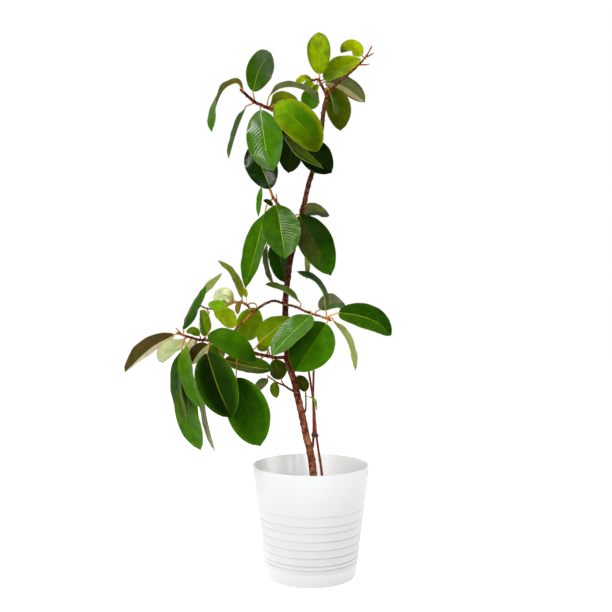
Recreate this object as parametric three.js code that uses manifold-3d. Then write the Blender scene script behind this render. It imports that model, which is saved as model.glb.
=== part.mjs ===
// A rubber plant in a tapered, ribbed pot. Millimetres, +Z up, with the origin on the floor
// under the middle of the pot. The picture side of the plant faces -Y.
import * as THREE from 'three';
import { mergeVertices } from 'three/addons/utils/BufferGeometryUtils.js';
import Module from 'manifold-3d';

const wasm = await Module();
wasm.setup();

// The pot and the soil in it
const potHeight = 209;
const rimDiameter = 220;
const footDiameter = 171;
const footRounding = 5;
const potWall = 3.4;
const potFloor = 6;
const ribHeights = [23, 35, 42.5, 57, 72, 87.5, 103, 115, 133];
const ribGrooveDepth = 0.9;
const soilBelowRim = 62;
const soilMound = 5;
const roundSides = 36;

// The wood
const trunkFootDiameter = 15;
const trunkTopDiameter = 7.8;
const shootDiameter = 5;
const trunkRings = { sides: 7, step: 17 };
const stemRings = { sides: 5, step: 13 };
const shootRings = { sides: 5, step: 16 };
const twigRings = { sides: 4, step: 12 };
const fewestSteps = 5;
const holeClearance = 0.5;
const jointGap = 0.3;
const sliverSize = 0.02;

// The tie round the two thin shoots, and how far down the picture it is
const tieHeight = 5.6;
const tieThickness = 1.3;
const tiePlace = 434.4;

// The leaves
const bladeThickness = 0.9;
const bladeFold = 14;
const leafSlimness = 0.56;
const edgeRipple = 0.03;
const bladeRows = 7;
const stalkDiameter = 2.6;
const stalkStep = 13;
const tipWidth = 1.6;

// Where the plant is seen from in the picture that its places are taken from: a picture of 612 by
// 612 dots with the eye level. A place is [dots to the right, dots down, millimetres behind the
// middle of the pot].
const eye = new THREE.Vector3(-9.5, -1500, 508);
const pictureMiddle = 306;
const dotsPerTangent = 791;

function place([right, down, behind]) {
  const distance = behind - eye.y;
  return new THREE.Vector3(
    eye.x + ((right - pictureMiddle) * distance) / dotsPerTangent,
    behind,
    eye.z - ((down - pictureMiddle) * distance) / dotsPerTangent,
  );
}

// The trunk, from inside the soil to the fork at the top
const trunk = {
  path: [
    [314.4, 514, 2], [313.9, 496, 2], [313.3, 474, 1], [310.3, 452, 0], [306.4, 436.5, -2],
    [302.4, 417, -4], [298, 398, -5], [294, 380, -4], [290.4, 370, -2], [287.6, 360, 1],
    [287, 345, 4], [285.5, 320, 8], [285.5, 300, 10], [287.8, 279, 10], [290.4, 260, 8],
    [293.9, 246, 5], [302.8, 210, 0], [308.7, 184, -4], [313.6, 168, -6], [318, 150, -6],
    [321, 134.6, -4], [324.3, 106.6, 0], [327.2, 95.9, 2],
  ],
  from: trunkFootDiameter,
  to: trunkTopDiameter,
  leaves: {
    backRight: {
      stalk: [[299.8, 220, 1], [300.4, 215.5, 9]],
      blade: [[301.8, 214.5, 12], [315, 211.8, 36], [328.2, 213.6, 58]],
      width: 42, roll: [-50, -50], slimness: 0.34,
    },
    hangingDark: {
      stalk: [[292.4, 252, 6], [284, 244, 20], [277.5, 237, 28]],
      blade: [[276.5, 240, 32], [281, 262, 40], [285.3, 283, 50]],
      width: 50, roll: [35, 35],
    },
    hangingNarrow: {
      stalk: [[291.6, 256, 7], [280, 247, -2], [268, 242, -8]],
      blade: [[266.5, 245, -8], [268.4, 265, -10], [273.2, 284, -6]],
      width: 38, roll: [72, 72],
    },
    sliver: {
      stalk: [[292.6, 249, 6], [298, 245, 15], [302.4, 246, 22]],
      blade: [[305, 250, 26], [306.8, 265, 28], [306.6, 279.4, 28]],
      width: 15, roll: [-48, -48], slimness: 0.8,
    },
  },
};

// The leafy stems. Each starts inside the wood that it grows from, and is cut clear of it there.
const topLeftStem = {
  path: [[327.2, 95.9, 2], [323.5, 89, -1], [320.8, 83.8, -4], [318.6, 79.4, -7], [313.4, 80.4, -9]],
  from: 6.6,
  to: 3.8,
  leaves: {
    topmost: {
      stalk: [[319, 80, -6], [319.6, 77.5, -6]],
      blade: [[319.5, 74.2, -5], [318.8, 53, 0], [318.6, 32.1, 20]],
      width: 46, roll: [5, -5],
    },
    rightBehind: {
      stalk: [[319.7, 81.4, -5.6], [322.4, 80, 1]],
      blade: [[325, 80, 6], [341, 68.5, 28], [360.6, 58.5, 46]],
      width: 50, roll: [-36, -36],
    },
    rightUnderside: {
      stalk: [[321.6, 85.3, -2], [323, 82.6, 6]],
      blade: [[325.6, 81.5, 12], [345, 87, 30], [365.2, 102.4, 50]],
      width: 44, roll: [215, 215],
    },
    hangingRight: {
      stalk: [[324.5, 90.5, 0], [326.2, 88, 9]],
      blade: [[328.4, 88.4, 17], [337, 104, 26], [340.6, 130.8, 38]],
      width: 50, roll: [-4, -12],
    },
    hangingEdge: {
      stalk: [[325.5, 92.5, 1], [328, 88, -8]],
      blade: [[329, 90, -12], [333, 102, -24], [334.8, 114, -44]],
      width: 28, roll: [-76, -80],
    },
    youngLeft: {
      stalk: [[314, 80.2, -9], [312.8, 79, -11]],
      blade: [[311.9, 79.3, -12], [303, 79.5, -20], [296.3, 86.6, -28]],
      width: 20, roll: [50, 40],
    },
    youngDark: {
      stalk: [[314.6, 80, -8], [313.6, 80.5, -3]],
      blade: [[312.6, 81.5, 0], [307.5, 84, 5], [303, 89.5, 10]],
      width: 17, roll: [60, 50],
    },
    youngYellow: {
      stalk: [[315, 80.1, -8], [314.2, 82, -10]],
      blade: [[313.4, 83, -11], [310.5, 86, -15], [308, 89.8, -19]],
      width: 11, roll: [25, 15],
    },
    youngGreen: {
      stalk: [[317.6, 79.8, -7], [317.4, 83, -4]],
      blade: [[317, 84.5, -3], [314.5, 89.5, -5], [311, 94.5, -9]],
      width: 17, roll: [30, 30],
    },
    hangingBehind: {
      stalk: [[321.2, 84.6, -3], [318, 86, 8]],
      blade: [[315, 88.6, 14], [311, 98, 26], [309.5, 109.5, 46]],
      width: 38, roll: [12, 12],
    },
  },
};

const topRightStem = {
  path: [
    [327.2, 95.9, 2], [331, 91, 4], [336, 85, 6], [347.6, 74.8, 8], [359, 64.6, 6], [366, 56.7, 4],
    [370.6, 48.5, 2],
  ],
  from: 6.2,
  to: 2.6,
  twigs: [
    { path: [[365.2, 57.6, 4], [369.5, 55.5, 8], [373.8, 52.8, 13]], from: 3.2, to: 2.2 },
    { path: [[359, 64.6, 6], [364.5, 64.8, 1], [370.2, 64, -5]], from: 3.2, to: 2 },
  ],
  leaves: {
    curledTip: {
      stalk: [[366, 56.7, 4], [364, 57.5, 1]],
      blade: [[362, 55.5, -1], [356, 49.6, -5], [349.5, 47.4, -10], [340.9, 52.8, -17]],
      width: 31, roll: [6, 52],
    },
  },
};

const upperLeftStem = {
  path: [
    [319.8, 140, -5], [308, 130, -18], [296, 121, -29], [284, 114.5, -38], [272, 109.8, -44],
    [267.6, 107.8, -46], [254.8, 102, -52], [243.5, 92.3, -58],
  ],
  from: 8.4,
  to: 5.2,
  twigs: [{ path: [[268, 108, -46], [271, 109.4, -49], [273, 110.4, -52]], from: 4.6, to: 2.2 }],
  leaves: {
    archingOver: {
      stalk: [[267.2, 107.6, -46], [267.4, 103, -46], [268.6, 98, -46]],
      blade: [[269.8, 95, -46], [279, 88.5, -44], [292, 86.7, -40], [308, 92, -32], [319.9, 103.5, -24]],
      width: 44, roll: [257, 255],
    },
    brownBehind: {
      stalk: [[270, 108.9, -45], [269.6, 106.5, -41]],
      blade: [[270, 105.6, -33], [282, 99.5, -10], [299, 104.6, 12]],
      width: 36, roll: [226, 226],
    },
    uprightDark: {
      stalk: [[254.8, 102, -52], [253.9, 97, -54], [253, 93.5, -55]],
      blade: [[252.8, 91.2, -55], [258.5, 71, -45], [271, 53, -8]],
      width: 54, roll: [14, 22],
    },
    archingLeft: {
      stalk: [[244.4, 93, -57.5], [243.4, 91.4, -60]],
      blade: [
        [242.8, 89.5, -61], [237.5, 82.8, -64], [226, 87, -70], [217.4, 101, -76],
        [211.7, 132, -84],
      ],
      width: 52, roll: [112, 60],
    },
    edgeOnLeft: {
      stalk: [[255.5, 102.6, -51.5], [250, 104.6, -46], [246, 106.4, -42]],
      blade: [[245, 108, -40], [236.6, 130, -38], [228.7, 158.6, -44]],
      width: 42, roll: [78, 78],
    },
    glossyFront: {
      stalk: [[263, 105.9, -48.5], [260.2, 107.6, -54]],
      blade: [[260.2, 110, -59], [263, 129.5, -75], [266.3, 150.6, -80], [273.4, 171, -78]],
      width: 66, roll: [4, 4],
    },
    limeFront: {
      stalk: [[271.2, 109.3, -45], [272.8, 105.6, -48]],
      blade: [[276.4, 104.4, -50], [292.4, 116.8, -61], [307, 132, -64], [317.9, 151.5, -58]],
      width: 66, roll: [-14, -10], slimness: 0.44,
    },
    darkBehind: {
      stalk: [[289, 117, -34], [286.4, 121, -24]],
      blade: [[286.6, 126, -16], [291, 149, 2], [288.4, 173, 24]],
      width: 54, roll: [20, 16],
    },
    edgeOnMiddle: {
      stalk: [[283, 114, -39], [281, 124, -46], [281, 131, -50]],
      blade: [[282.2, 134.6, -52], [301, 155.5, -62], [323.6, 168.8, -58]],
      width: 42, roll: [-64, -66],
    },
    darkRound: {
      stalk: [[307.6, 129.6, -18.5], [303.5, 134, -20], [302.5, 138, -22]],
      blade: [[303, 141.5, -23], [316, 157, -27], [331.6, 173, -24]],
      width: 58, roll: [-12, -12],
    },
  },
};

const middleStem = {
  path: [
    [298.6, 226, 2], [291, 218, -7], [283, 209.5, -16], [277, 203, -22], [272.5, 196, -27],
    [270.6, 191, -29],
  ],
  from: 7.4,
  to: 4.4,
  twigs: [{ path: [[277.4, 203.4, -22], [276.6, 198.5, -24], [276, 193.5, -25]], from: 2.8, to: 1.6 }],
  leaves: {
    uprightDark: {
      stalk: [[272, 195, -27.5], [270.6, 191.6, -33]],
      blade: [[270.4, 188.5, -35], [262, 168, -30], [251, 145, -12]],
      width: 60, roll: [4, 0],
    },
    glossyFront: {
      stalk: [[277.6, 203.7, -21], [276, 203.4, -29]],
      blade: [[276.3, 205, -34], [281, 230, -56], [285.5, 258.8, -92]],
      width: 72, roll: [-4, -4],
    },
    longHanging: {
      stalk: [[273.6, 198, -26], [268, 203, -23], [266, 208, -23]],
      blade: [[265, 213, -24], [256, 250, -30], [245, 289, -30]],
      width: 60, roll: [46, 46], slimness: 0.8,
    },
    narrowYoung: {
      stalk: [[271.2, 193, -28.5], [267, 186, -22], [263, 184, -19]],
      blade: [[261.4, 187, -18], [259.8, 202, -18], [258.4, 217, -20]],
      width: 17, roll: [48, 50], slimness: 0.8,
    },
    greyYoung: {
      stalk: [[277.6, 203.7, -21.5], [274.6, 205.6, -25]],
      blade: [[272.8, 205.8, -26.5], [268, 202, -30], [263.3, 200.2, -32]],
      width: 11, roll: [30, 30],
    },
    frontOfTrunk: {
      stalk: [[293, 220, -4.5], [296.5, 214.5, -14]],
      blade: [[299.5, 215.5, -20], [313, 239, -40], [331, 275.6, -50]],
      width: 66, roll: [-14, -10],
    },
  },
};

const leftStem = {
  path: [
    [287, 357, 2], [280.5, 357.6, -6], [274.6, 357.4, -13], [267.6, 356.1, -20],
    [256, 353.6, -30], [238, 348.5, -44], [222, 343.4, -54], [208, 340.4, -61], [199, 339.7, -65],
    [189.6, 337.2, -69], [180, 334, -73],
  ],
  from: 7,
  to: 4.2,
  twigs: [
    { path: [[264, 355.4, -23], [261.6, 358, -26], [260, 361, -28]], from: 3.4, to: 2.6 },
    { path: [[266.4, 355.8, -21], [267.6, 352.6, -22], [268.6, 348.6, -23]], from: 3.4, to: 2.6 },
    { path: [[182.4, 334.9, -72], [179, 331.5, -74], [175.6, 327.8, -76]], from: 2.8, to: 1.6 },
  ],
  leaves: {
    uprightGlossy: {
      stalk: [[183, 335, -71.5], [183.4, 332.6, -77]],
      blade: [[183.8, 329.5, -80], [192, 307, -85], [206, 286, -74]],
      width: 46, roll: [66, 68],
    },
    uprightGreen: {
      stalk: [[203, 340, -63.4], [204.4, 338, -61]],
      blade: [[206.2, 335.6, -61], [203, 322.5, -74], [199.8, 310.4, -98]],
      width: 34, roll: [36, 60],
    },
    overBranch: {
      stalk: [[206.2, 340.3, -62], [205.4, 336.4, -70]],
      blade: [[208.4, 334.3, -76], [222, 338.8, -88], [238, 348.4, -90], [256.4, 361, -78]],
      width: 50, roll: [-28, -30],
    },
    underBranch: {
      stalk: [[218, 342.6, -56], [219.6, 352, -52]],
      blade: [[224.6, 359.4, -50], [248, 366, -48], [273, 370, -38]],
      width: 46, roll: [222, 222],
    },
    smallGreen: {
      stalk: [[270, 356.7, -18], [269, 352, -11]],
      blade: [[267.6, 350, -8], [263, 347, -1], [259, 344, 8]],
      width: 24, roll: [20, 20],
    },
    underDark: {
      stalk: [[272.5, 357.2, -15.5], [272, 358.4, -8]],
      blade: [[272.6, 360.6, -3], [277.5, 369, 6], [282, 379, 18]],
      width: 36, roll: [-10, -10],
    },
    oliveFront: {
      stalk: [[249, 351.8, -36], [254.6, 348.6, -46]],
      blade: [[259, 342.6, -50], [275, 329.5, -38], [291, 317, -12]],
      width: 56, roll: [172, 168],
    },
    behindDark: {
      stalk: [[212, 341.2, -59], [209.5, 344.4, -50]],
      blade: [[209, 347, -45], [215, 353, -30], [222, 361, -8]],
      width: 42, roll: [-16, -16],
    },
    bigDark: {
      stalk: [[208.4, 340.5, -61], [210.8, 343.4, -76], [208.6, 348.6, -84]],
      blade: [
        [207, 353, -88], [213.6, 374.4, -106], [219.7, 392, -112], [226.6, 407, -110],
        [231.4, 417.8, -106],
      ],
      width: 72, roll: [4, -2],
    },
    bigLow: {
      stalk: [[231.4, 346.6, -48], [236, 352, -64], [236.6, 366, -73]],
      blade: [[236, 378, -74], [247, 410, -84], [260.3, 446, -74]],
      width: 78, roll: [-4, -8],
    },
    brightNarrow: {
      stalk: [[192, 337.8, -68], [189.4, 341.6, -76]],
      blade: [[185, 346.9, -78], [188, 368, -88], [195, 391, -90], [202.9, 408.9, -86]],
      width: 54, roll: [58, 60],
    },
    oliveNarrow: {
      stalk: [[186, 336, -70.5], [183, 344, -58]],
      blade: [[181.4, 352, -52], [178.6, 386, -47], [186, 421.9, -46]],
      width: 50, roll: [64, 62],
    },
    stripedLow: {
      stalk: [[197.4, 339.5, -65.5], [192, 352, -54], [189.6, 366, -44]],
      blade: [[188, 376, -40], [189, 414, -26], [200.6, 450.2, -14]],
      width: 56, roll: [36, 36],
    },
    edgeOnLow: {
      stalk: [[202.6, 340, -63.5], [203.6, 352, -50], [202.6, 370, -40]],
      blade: [[202, 380, -36], [206, 416, -28], [215.1, 451.7, -22]],
      width: 48, roll: [78, 78],
    },
    farLeft: {
      stalk: [[181, 334.4, -72.5], [177.6, 334, -76]],
      blade: [[174.4, 334.6, -78], [152, 347, -84], [124.7, 372.2, -78]],
      width: 56, roll: [122, 118],
    },
    underFarLeft: {
      stalk: [[188.4, 336.9, -69.5], [185.6, 338.2, -60]],
      blade: [[183, 339.4, -54], [172, 349, -36], [162, 363.5, -14]],
      width: 50, roll: [132, 132],
    },
    smallOlive: {
      stalk: [[200, 339.8, -64.5], [200.4, 337.4, -60]],
      blade: [[199.4, 335.4, -58], [193, 331.6, -55], [186.6, 330.4, -48]],
      width: 21, roll: [40, 40],
    },
    foldedBrown: {
      stalk: [[211.4, 341.1, -59.5], [210, 342.6, -61]],
      blade: [[207.6, 344.4, -62], [200, 351.6, -67], [190.8, 364.5, -72]],
      width: 34, roll: [146, 146],
    },
    paleBehind: {
      stalk: [[195.4, 339, -66.5], [196.4, 339.6, -58]],
      blade: [[196, 341.5, -54], [191.5, 347, -46], [187, 354, -34]],
      width: 26, roll: [24, 24],
    },
  },
};

const rightStem = {
  path: [
    [238.6, 348.7, -44], [235.6, 340, -52], [235.4, 330.5, -57], [243.8, 321.2, -58],
    [254.6, 311, -56], [266, 303.4, -50], [274.4, 300.8, -44], [284.6, 304, -36],
    [296, 307, -30], [308.9, 312.9, -30], [319.7, 316, -32], [328, 319.3, -34],
  ],
  from: 5.6,
  to: 4,
  leaves: {
    glossyFront: {
      stalk: [[306, 311.4, -29.5], [311, 311.6, -38]],
      blade: [[311.4, 315.5, -46], [293, 332.5, -74], [271.3, 355.7, -84]],
      width: 54, roll: [47, 50],
    },
    broadFront: {
      stalk: [[324.6, 317.9, -33], [328, 320, -40]],
      blade: [[326.4, 323.5, -45], [312, 346, -55], [294.4, 371.5, -70]],
      width: 84, roll: [2, 6],
    },
    farRight: {
      stalk: [[326, 318.5, -33.5], [331, 315.4, -37]],
      blade: [[338.6, 312.8, -40], [358, 315.6, -46], [377, 322.6, -46], [391.2, 335.2, -42]],
      width: 52, roll: [-26, -30],
    },
    edgeOnRight: {
      stalk: [[326.6, 318.8, -33.5], [331.6, 318, -28]],
      blade: [[333.7, 320.5, -26], [347.4, 341, -18], [355.4, 371, -20]],
      width: 44, roll: [-106, -108],
    },
    backRight: {
      stalk: [[315, 314.6, -31], [316.4, 311.6, -24]],
      blade: [[320.5, 309.5, -16], [332, 303.5, 14], [344, 303, 50]],
      width: 44, roll: [-36, -40],
    },
    archingBack: {
      stalk: [[325.6, 318.3, -33], [326.6, 314, -30]],
      blade: [[326, 311, -29], [323.6, 294, -24], [314, 280.6, -18], [296.8, 271.2, -8]],
      width: 38, roll: [86, 58],
    },
    oliveNarrow: {
      stalk: [[299.6, 308.8, -30], [300.8, 304, -36]],
      blade: [[299, 300.8, -40], [283, 290.6, -52], [265.2, 284.6, -66]],
      width: 42, roll: [72, 74],
    },
  },
};

const backLeftStem = {
  path: [
    [252, 313.4, -56.5], [248, 306, -44], [242.5, 302.7, -30], [236, 302.4, -14],
    [228.5, 303.4, 2], [219, 306, 18], [210, 309, 32], [200.4, 306, 46],
  ],
  from: 4.8,
  to: 3.6,
  leaves: {
    uprightYellow: {
      stalk: [[241.6, 302.6, -28], [242.2, 300, -26]],
      blade: [[241.9, 297.6, -25], [232, 276, -16], [218, 260, -2]],
      width: 42, roll: [68, 70],
    },
    youngYellow: {
      stalk: [[246.4, 305, -40], [246.6, 300, -38]],
      blade: [[246.2, 297.5, -37.5], [245, 293, -37], [244, 287.6, -38]],
      width: 10, roll: [30, 30],
    },
    paleUnderside: {
      stalk: [[206.6, 308.2, 37.4], [207.4, 310, 41]],
      blade: [[208.4, 312.6, 44], [206.6, 319, 57], [205.5, 328.5, 86]],
      width: 40, roll: [116, 116],
    },
    paleArching: {
      stalk: [[236.6, 302.4, -15], [235.4, 301.4, -10]],
      blade: [[234, 300, -4], [225, 295.2, 20], [213.6, 300, 50]],
      width: 30, roll: [152, 152],
    },
    brightGreen: {
      stalk: [[233, 302.6, -8], [231.2, 304.4, -3]],
      blade: [[229, 305.2, 2], [219.5, 306.6, 12], [210.6, 301.6, 34]],
      width: 34, roll: [40, 40],
    },
    yellowGreen: {
      stalk: [[213.6, 307.8, 26], [213.6, 310, 33]],
      blade: [[214.4, 312, 40], [225, 317, 56], [237, 325, 82]],
      width: 38, roll: [-20, -20],
    },
    pinkYoung: {
      stalk: [[241.6, 302.6, -28], [241, 300, -33]],
      blade: [[240.4, 301, -35], [238, 307, -37], [237.6, 314.6, -38]],
      width: 11, roll: [10, 10],
    },
    behindRope: {
      stalk: [[247, 304.9, -41], [252, 303, -30], [256, 304.6, -21]],
      blade: [[257, 308.5, -17], [251, 323, -8], [243, 340.5, 4]],
      width: 54, roll: [18, 20],
    },
    greyFarLeft: {
      stalk: [[201, 306.2, 45.4], [197.4, 303, 48]],
      blade: [[196.6, 299, 50], [208, 284, 56], [221.8, 272.8, 60]],
      width: 34, roll: [112, 114],
    },
  },
};

const lowLeftTwig = {
  path: [[297.6, 393, -5], [291, 390, -10], [284.2, 385.5, -15], [277.2, 382.6, -20], [269.5, 377.2, -24]],
  from: 4.2,
  to: 2.6,
  twigs: [{ path: [[285, 386, -14.6], [282, 381.6, -15], [280, 377.4, -15]], from: 2.8, to: 2 }],
  leaves: {
    brownSmall: {
      stalk: [[270.4, 377.8, -23.6], [268.6, 377.4, -26]],
      blade: [[267.3, 378.6, -28], [262, 384.5, -33], [255.5, 391.5, -40]],
      width: 25, roll: [42, 42],
    },
    greenSmall: {
      stalk: [[276.4, 382.2, -20.4], [274.6, 380.6, -26]],
      blade: [[274.4, 382, -28], [275, 389.5, -33], [276.9, 398, -40]],
      width: 19, roll: [10, 10],
    },
  },
};

const lowRightTwig = {
  path: [[301.8, 414, -4], [304.8, 411.6, -4], [305.9, 405.5, -2], [305.6, 394.6, 2]],
  from: 3.8,
  to: 2.4,
  leaves: {
    oliveSmall: {
      stalk: [[305.6, 396, 1.4], [305.8, 393.4, 4]],
      blade: [[305.4, 391.6, 6], [302, 383, 12], [297.4, 375.3, 18]],
      width: 25, roll: [20, 20],
    },
    yellowEdge: {
      stalk: [[305.7, 398, 0.8], [307, 396.6, -8]],
      blade: [[308.4, 396.6, -15], [313.2, 399.4, -22], [316.6, 411.4, -26]],
      width: 16, roll: [-74, -76],
    },
  },
};

// Two long bare shoots beside the trunk: one from the soil, one from the trunk's foot
const soilShoot = {
  path: [
    [323, 512, -15], [322.6, 496, -15], [321.7, 473.3, -15], [318.7, 451.8, -14],
    [316, 432.7, -12], [314.5, 413.6, -10], [312.9, 398.3, -8], [311, 385.3, -6],
    [308.7, 370.7, -3], [307, 352, 0], [308, 336, 2],
  ],
  from: shootDiameter,
  to: 3.8,
};
const trunkShoot = {
  path: [
    [310, 451, 0], [312.4, 447.6, 0], [313.5, 432.7, 0], [313.5, 413.6, 2],
    [313.2, 394.4, 6], [313.7, 371.5, 10], [314.4, 352, 12], [315.4, 338, 12],
  ],
  from: 4.8,
  to: 3.8,
};

const leafyStems = {
  leafy_stem_top_left: topLeftStem,
  leafy_stem_top_right: topRightStem,
  leafy_stem_upper_left: upperLeftStem,
  leafy_stem_middle: middleStem,
  leafy_stem_left: leftStem,
  leafy_stem_right: rightStem,
  leafy_stem_back_left: backLeftStem,
  leafy_twig_low_left: lowLeftTwig,
  leafy_twig_low_right: lowRightTwig,
};

const finishes = {
  pot: { color: 0xf1f1ef, roughness: 0.35, metalness: 0 },
  soil: { color: 0x3a2a1e, roughness: 0.95, metalness: 0 },
  bark: { color: 0x6f3a28, roughness: 0.7, metalness: 0 },
  leaf: { color: 0x3f7a1c, roughness: 0.3, metalness: 0 },
  shoot: { color: 0x8a3416, roughness: 0.4, metalness: 0 },
  tie: { color: 0x141414, roughness: 0.5, metalness: 0 },
};

function solidOf(geometry) {
  const plain = geometry.clone();
  plain.deleteAttribute('normal');
  plain.deleteAttribute('uv');
  const merged = mergeVertices(plain, 1e-3);
  const vertProperties = new Float32Array(merged.attributes.position.array);
  const triVerts = new Uint32Array(merged.index.array);
  return new wasm.Manifold(new wasm.Mesh({ numProp: 3, vertProperties, triVerts }));
}

function geometryOf(solid) {
  const mesh = solid.getMesh();
  const geometry = new THREE.BufferGeometry();
  geometry.setAttribute('position', new THREE.BufferAttribute(mesh.vertProperties, 3));
  geometry.setIndex(new THREE.BufferAttribute(mesh.triVerts, 1));
  geometry.computeVertexNormals();
  return geometry;
}

// Solids joined into one, without the slivers that a join leaves along its edges.
function joined(solids) {
  return solids.reduce((whole, solid) => whole.add(solid)).simplify(sliverSize);
}

function part(name, geometry, finish) {
  const mesh = new THREE.Mesh(geometry, new THREE.MeshStandardMaterial(finishes[finish]));
  mesh.name = name;
  return mesh;
}

// A round rod along a curve: a cylinder whose rings are moved onto the curve and made narrower
// from one end to the other.
function rod(points, startDiameter, endDiameter, rings) {
  const curve = new THREE.CatmullRomCurve3(points, false, 'centripetal');
  const steps = Math.max(fewestSteps, Math.round(curve.getLength() / rings.step));
  const frames = curve.computeFrenetFrames(steps, false);
  const middles = curve.getSpacedPoints(steps);
  const geometry = new THREE.CylinderGeometry(1, 1, 1, rings.sides, steps);
  const position = geometry.attributes.position;
  const corner = new THREE.Vector3();
  for (let i = 0; i < position.count; i += 1) {
    const ring = Math.round((position.getY(i) + 0.5) * steps);
    const radius = THREE.MathUtils.lerp(startDiameter, endDiameter, ring / steps) / 2;
    corner.copy(middles[ring]);
    corner.addScaledVector(frames.normals[ring], position.getX(i) * radius);
    corner.addScaledVector(frames.binormals[ring], -position.getZ(i) * radius);
    position.setXYZ(i, corner.x, corner.y, corner.z);
  }
  return solidOf(geometry);
}

// The wood of a stem, made thicker all round by a gap when it is used to cut its neighbours.
function woodOf(stem, gap, rings) {
  const points = stem.path.map(place);
  return rod(points, stem.from + 2 * gap, stem.to + 2 * gap, rings);
}

// How wide a leaf is along its length, as a share of its widest place: an oval, full or slim.
function leafOutline(along, slimness = leafSlimness) {
  return Math.sin(Math.PI * along ** 0.92) ** slimness;
}

// Which way the upper face of a leaf looks at a place on its midrib. At a roll of 0 it looks at
// the eye, and at 180 its underside does.
function faceDirection(spot, along, rollDegrees) {
  const towardsEye = eye.clone().sub(spot);
  towardsEye.addScaledVector(along, -towardsEye.dot(along)).normalize();
  const aside = along.clone().cross(towardsEye);
  const roll = THREE.MathUtils.degToRad(rollDegrees);
  return towardsEye.multiplyScalar(Math.cos(roll)).addScaledVector(aside, Math.sin(roll));
}

// A ring of six corners round a place of a leaf: three on its upper side, from left to right, and
// three on its lower side, back again. The two sides get the same triangles.
function leafRing(spot, aside, face, half, thickness, lift, ripple) {
  const corners = [];
  for (const [side, upper] of [[-1, 1], [0, 1], [1, 1], [1, -1], [0, -1], [-1, -1]]) {
    const rise = Math.abs(side) * lift + side * ripple + (upper * thickness) / 2;
    corners.push(spot.clone().addScaledVector(aside, side * half).addScaledVector(face, rise));
  }
  return corners;
}

// The rings of a blade, from the end of its stalk to its tip. It is folded up along the midrib,
// and its edges ripple.
function bladeRings(leaf) {
  const curve = new THREE.CatmullRomCurve3(leaf.blade.map(place), false, 'centripetal');
  const fold = THREE.MathUtils.degToRad(leaf.fold ?? bladeFold);
  const rings = [];
  for (let row = 0; row <= bladeRows; row += 1) {
    const along = (1 - Math.cos((Math.PI * row) / bladeRows)) / 2;
    const spot = curve.getPointAt(along);
    const ahead = curve.getTangentAt(along);
    const face = faceDirection(spot, ahead, THREE.MathUtils.lerp(leaf.roll[0], leaf.roll[1], along));
    const aside = ahead.clone().cross(face);
    const outline = leafOutline(along, leaf.slimness);
    const half = Math.max((leaf.width / 2) * outline, tipWidth / 2);
    const ripple = leaf.width * edgeRipple * Math.sin(along * 9) * outline;
    const lift = half * Math.sin(fold) * Math.min(1, along * 8);
    rings.push(leafRing(spot, aside, face, half * Math.cos(fold), bladeThickness, lift, ripple));
  }
  return rings;
}

// The rings of a stalk, from the middle of the wood to just before the blade.
function stalkRings(leaf) {
  const ends = [...leaf.stalk, leaf.blade[0]].map(place);
  const curve = new THREE.CatmullRomCurve3(ends, false, 'centripetal');
  const steps = Math.max(2, Math.round(curve.getLength() / stalkStep));
  const half = (stalkDiameter / 2) * Math.min(1, leaf.width / 24);
  const rings = [];
  let face = faceDirection(ends[ends.length - 1], curve.getTangentAt(1), leaf.roll[0]);
  for (let step = steps - 1; step >= 0; step -= 1) {
    const ahead = curve.getTangentAt(step / steps);
    face = face.clone().addScaledVector(ahead, -face.dot(ahead)).normalize();
    const aside = ahead.clone().cross(face);
    rings.unshift(leafRing(curve.getPointAt(step / steps), aside, face, half, half * 1.5, -half / 4, 0));
  }
  return rings;
}

// A leaf is one closed skin over the rings of its stalk and blade.
function leafSolid(leaf) {
  const rings = [...stalkRings(leaf), ...bladeRings(leaf)];
  const faces = [];
  for (let ring = 0; ring < rings.length - 1; ring += 1) {
    const here = ring * 6;
    const next = here + 6;
    for (const [left, right] of [[0, 1], [1, 2], [2, 3]]) {
      faces.push(here + left, here + right, next + right, here + left, next + right, next + left);
    }
    for (const [right, left] of [[3, 4], [4, 5], [5, 0]]) {
      faces.push(here + right, here + left, next + right, here + left, next + left, next + right);
    }
  }
  const last = (rings.length - 1) * 6;
  for (const [a, b, c] of [[0, 5, 4], [0, 4, 1], [1, 4, 3], [1, 3, 2]]) {
    faces.push(a, b, c, last + a, last + c, last + b);
  }
  const geometry = new THREE.BufferGeometry().setFromPoints(rings.flat());
  geometry.setIndex(faces);
  return solidOf(geometry);
}

function leafSolids(stem) {
  return Object.values(stem.leaves ?? {}).map(leafSolid);
}

function twigSolids(stem) {
  return (stem.twigs ?? []).map((twig) => woodOf(twig, 0, twigRings));
}

// Every stem is cut clear of the wood of the stems before it, so what it grows from comes first.
function plantParts() {
  const parts = [];
  const cutters = [];
  const addStem = (name, stem, finish, rings) => {
    let solid = joined([woodOf(stem, 0, rings), ...twigSolids(stem), ...leafSolids(stem)]);
    for (const cutter of cutters) {
      solid = solid.subtract(cutter);
    }
    solid = solid.simplify(sliverSize);
    parts.push(part(name, geometryOf(solid), finish));
    cutters.push(woodOf(stem, jointGap, rings));
  };
  addStem('trunk', trunk, 'bark', trunkRings);
  for (const [name, stem] of Object.entries(leafyStems)) {
    addStem(name, stem, 'leaf', stemRings);
  }
  addStem('thin_shoot_soil', soilShoot, 'shoot', shootRings);
  addStem('thin_shoot_trunk', trunkShoot, 'shoot', shootRings);
  return parts;
}

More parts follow.
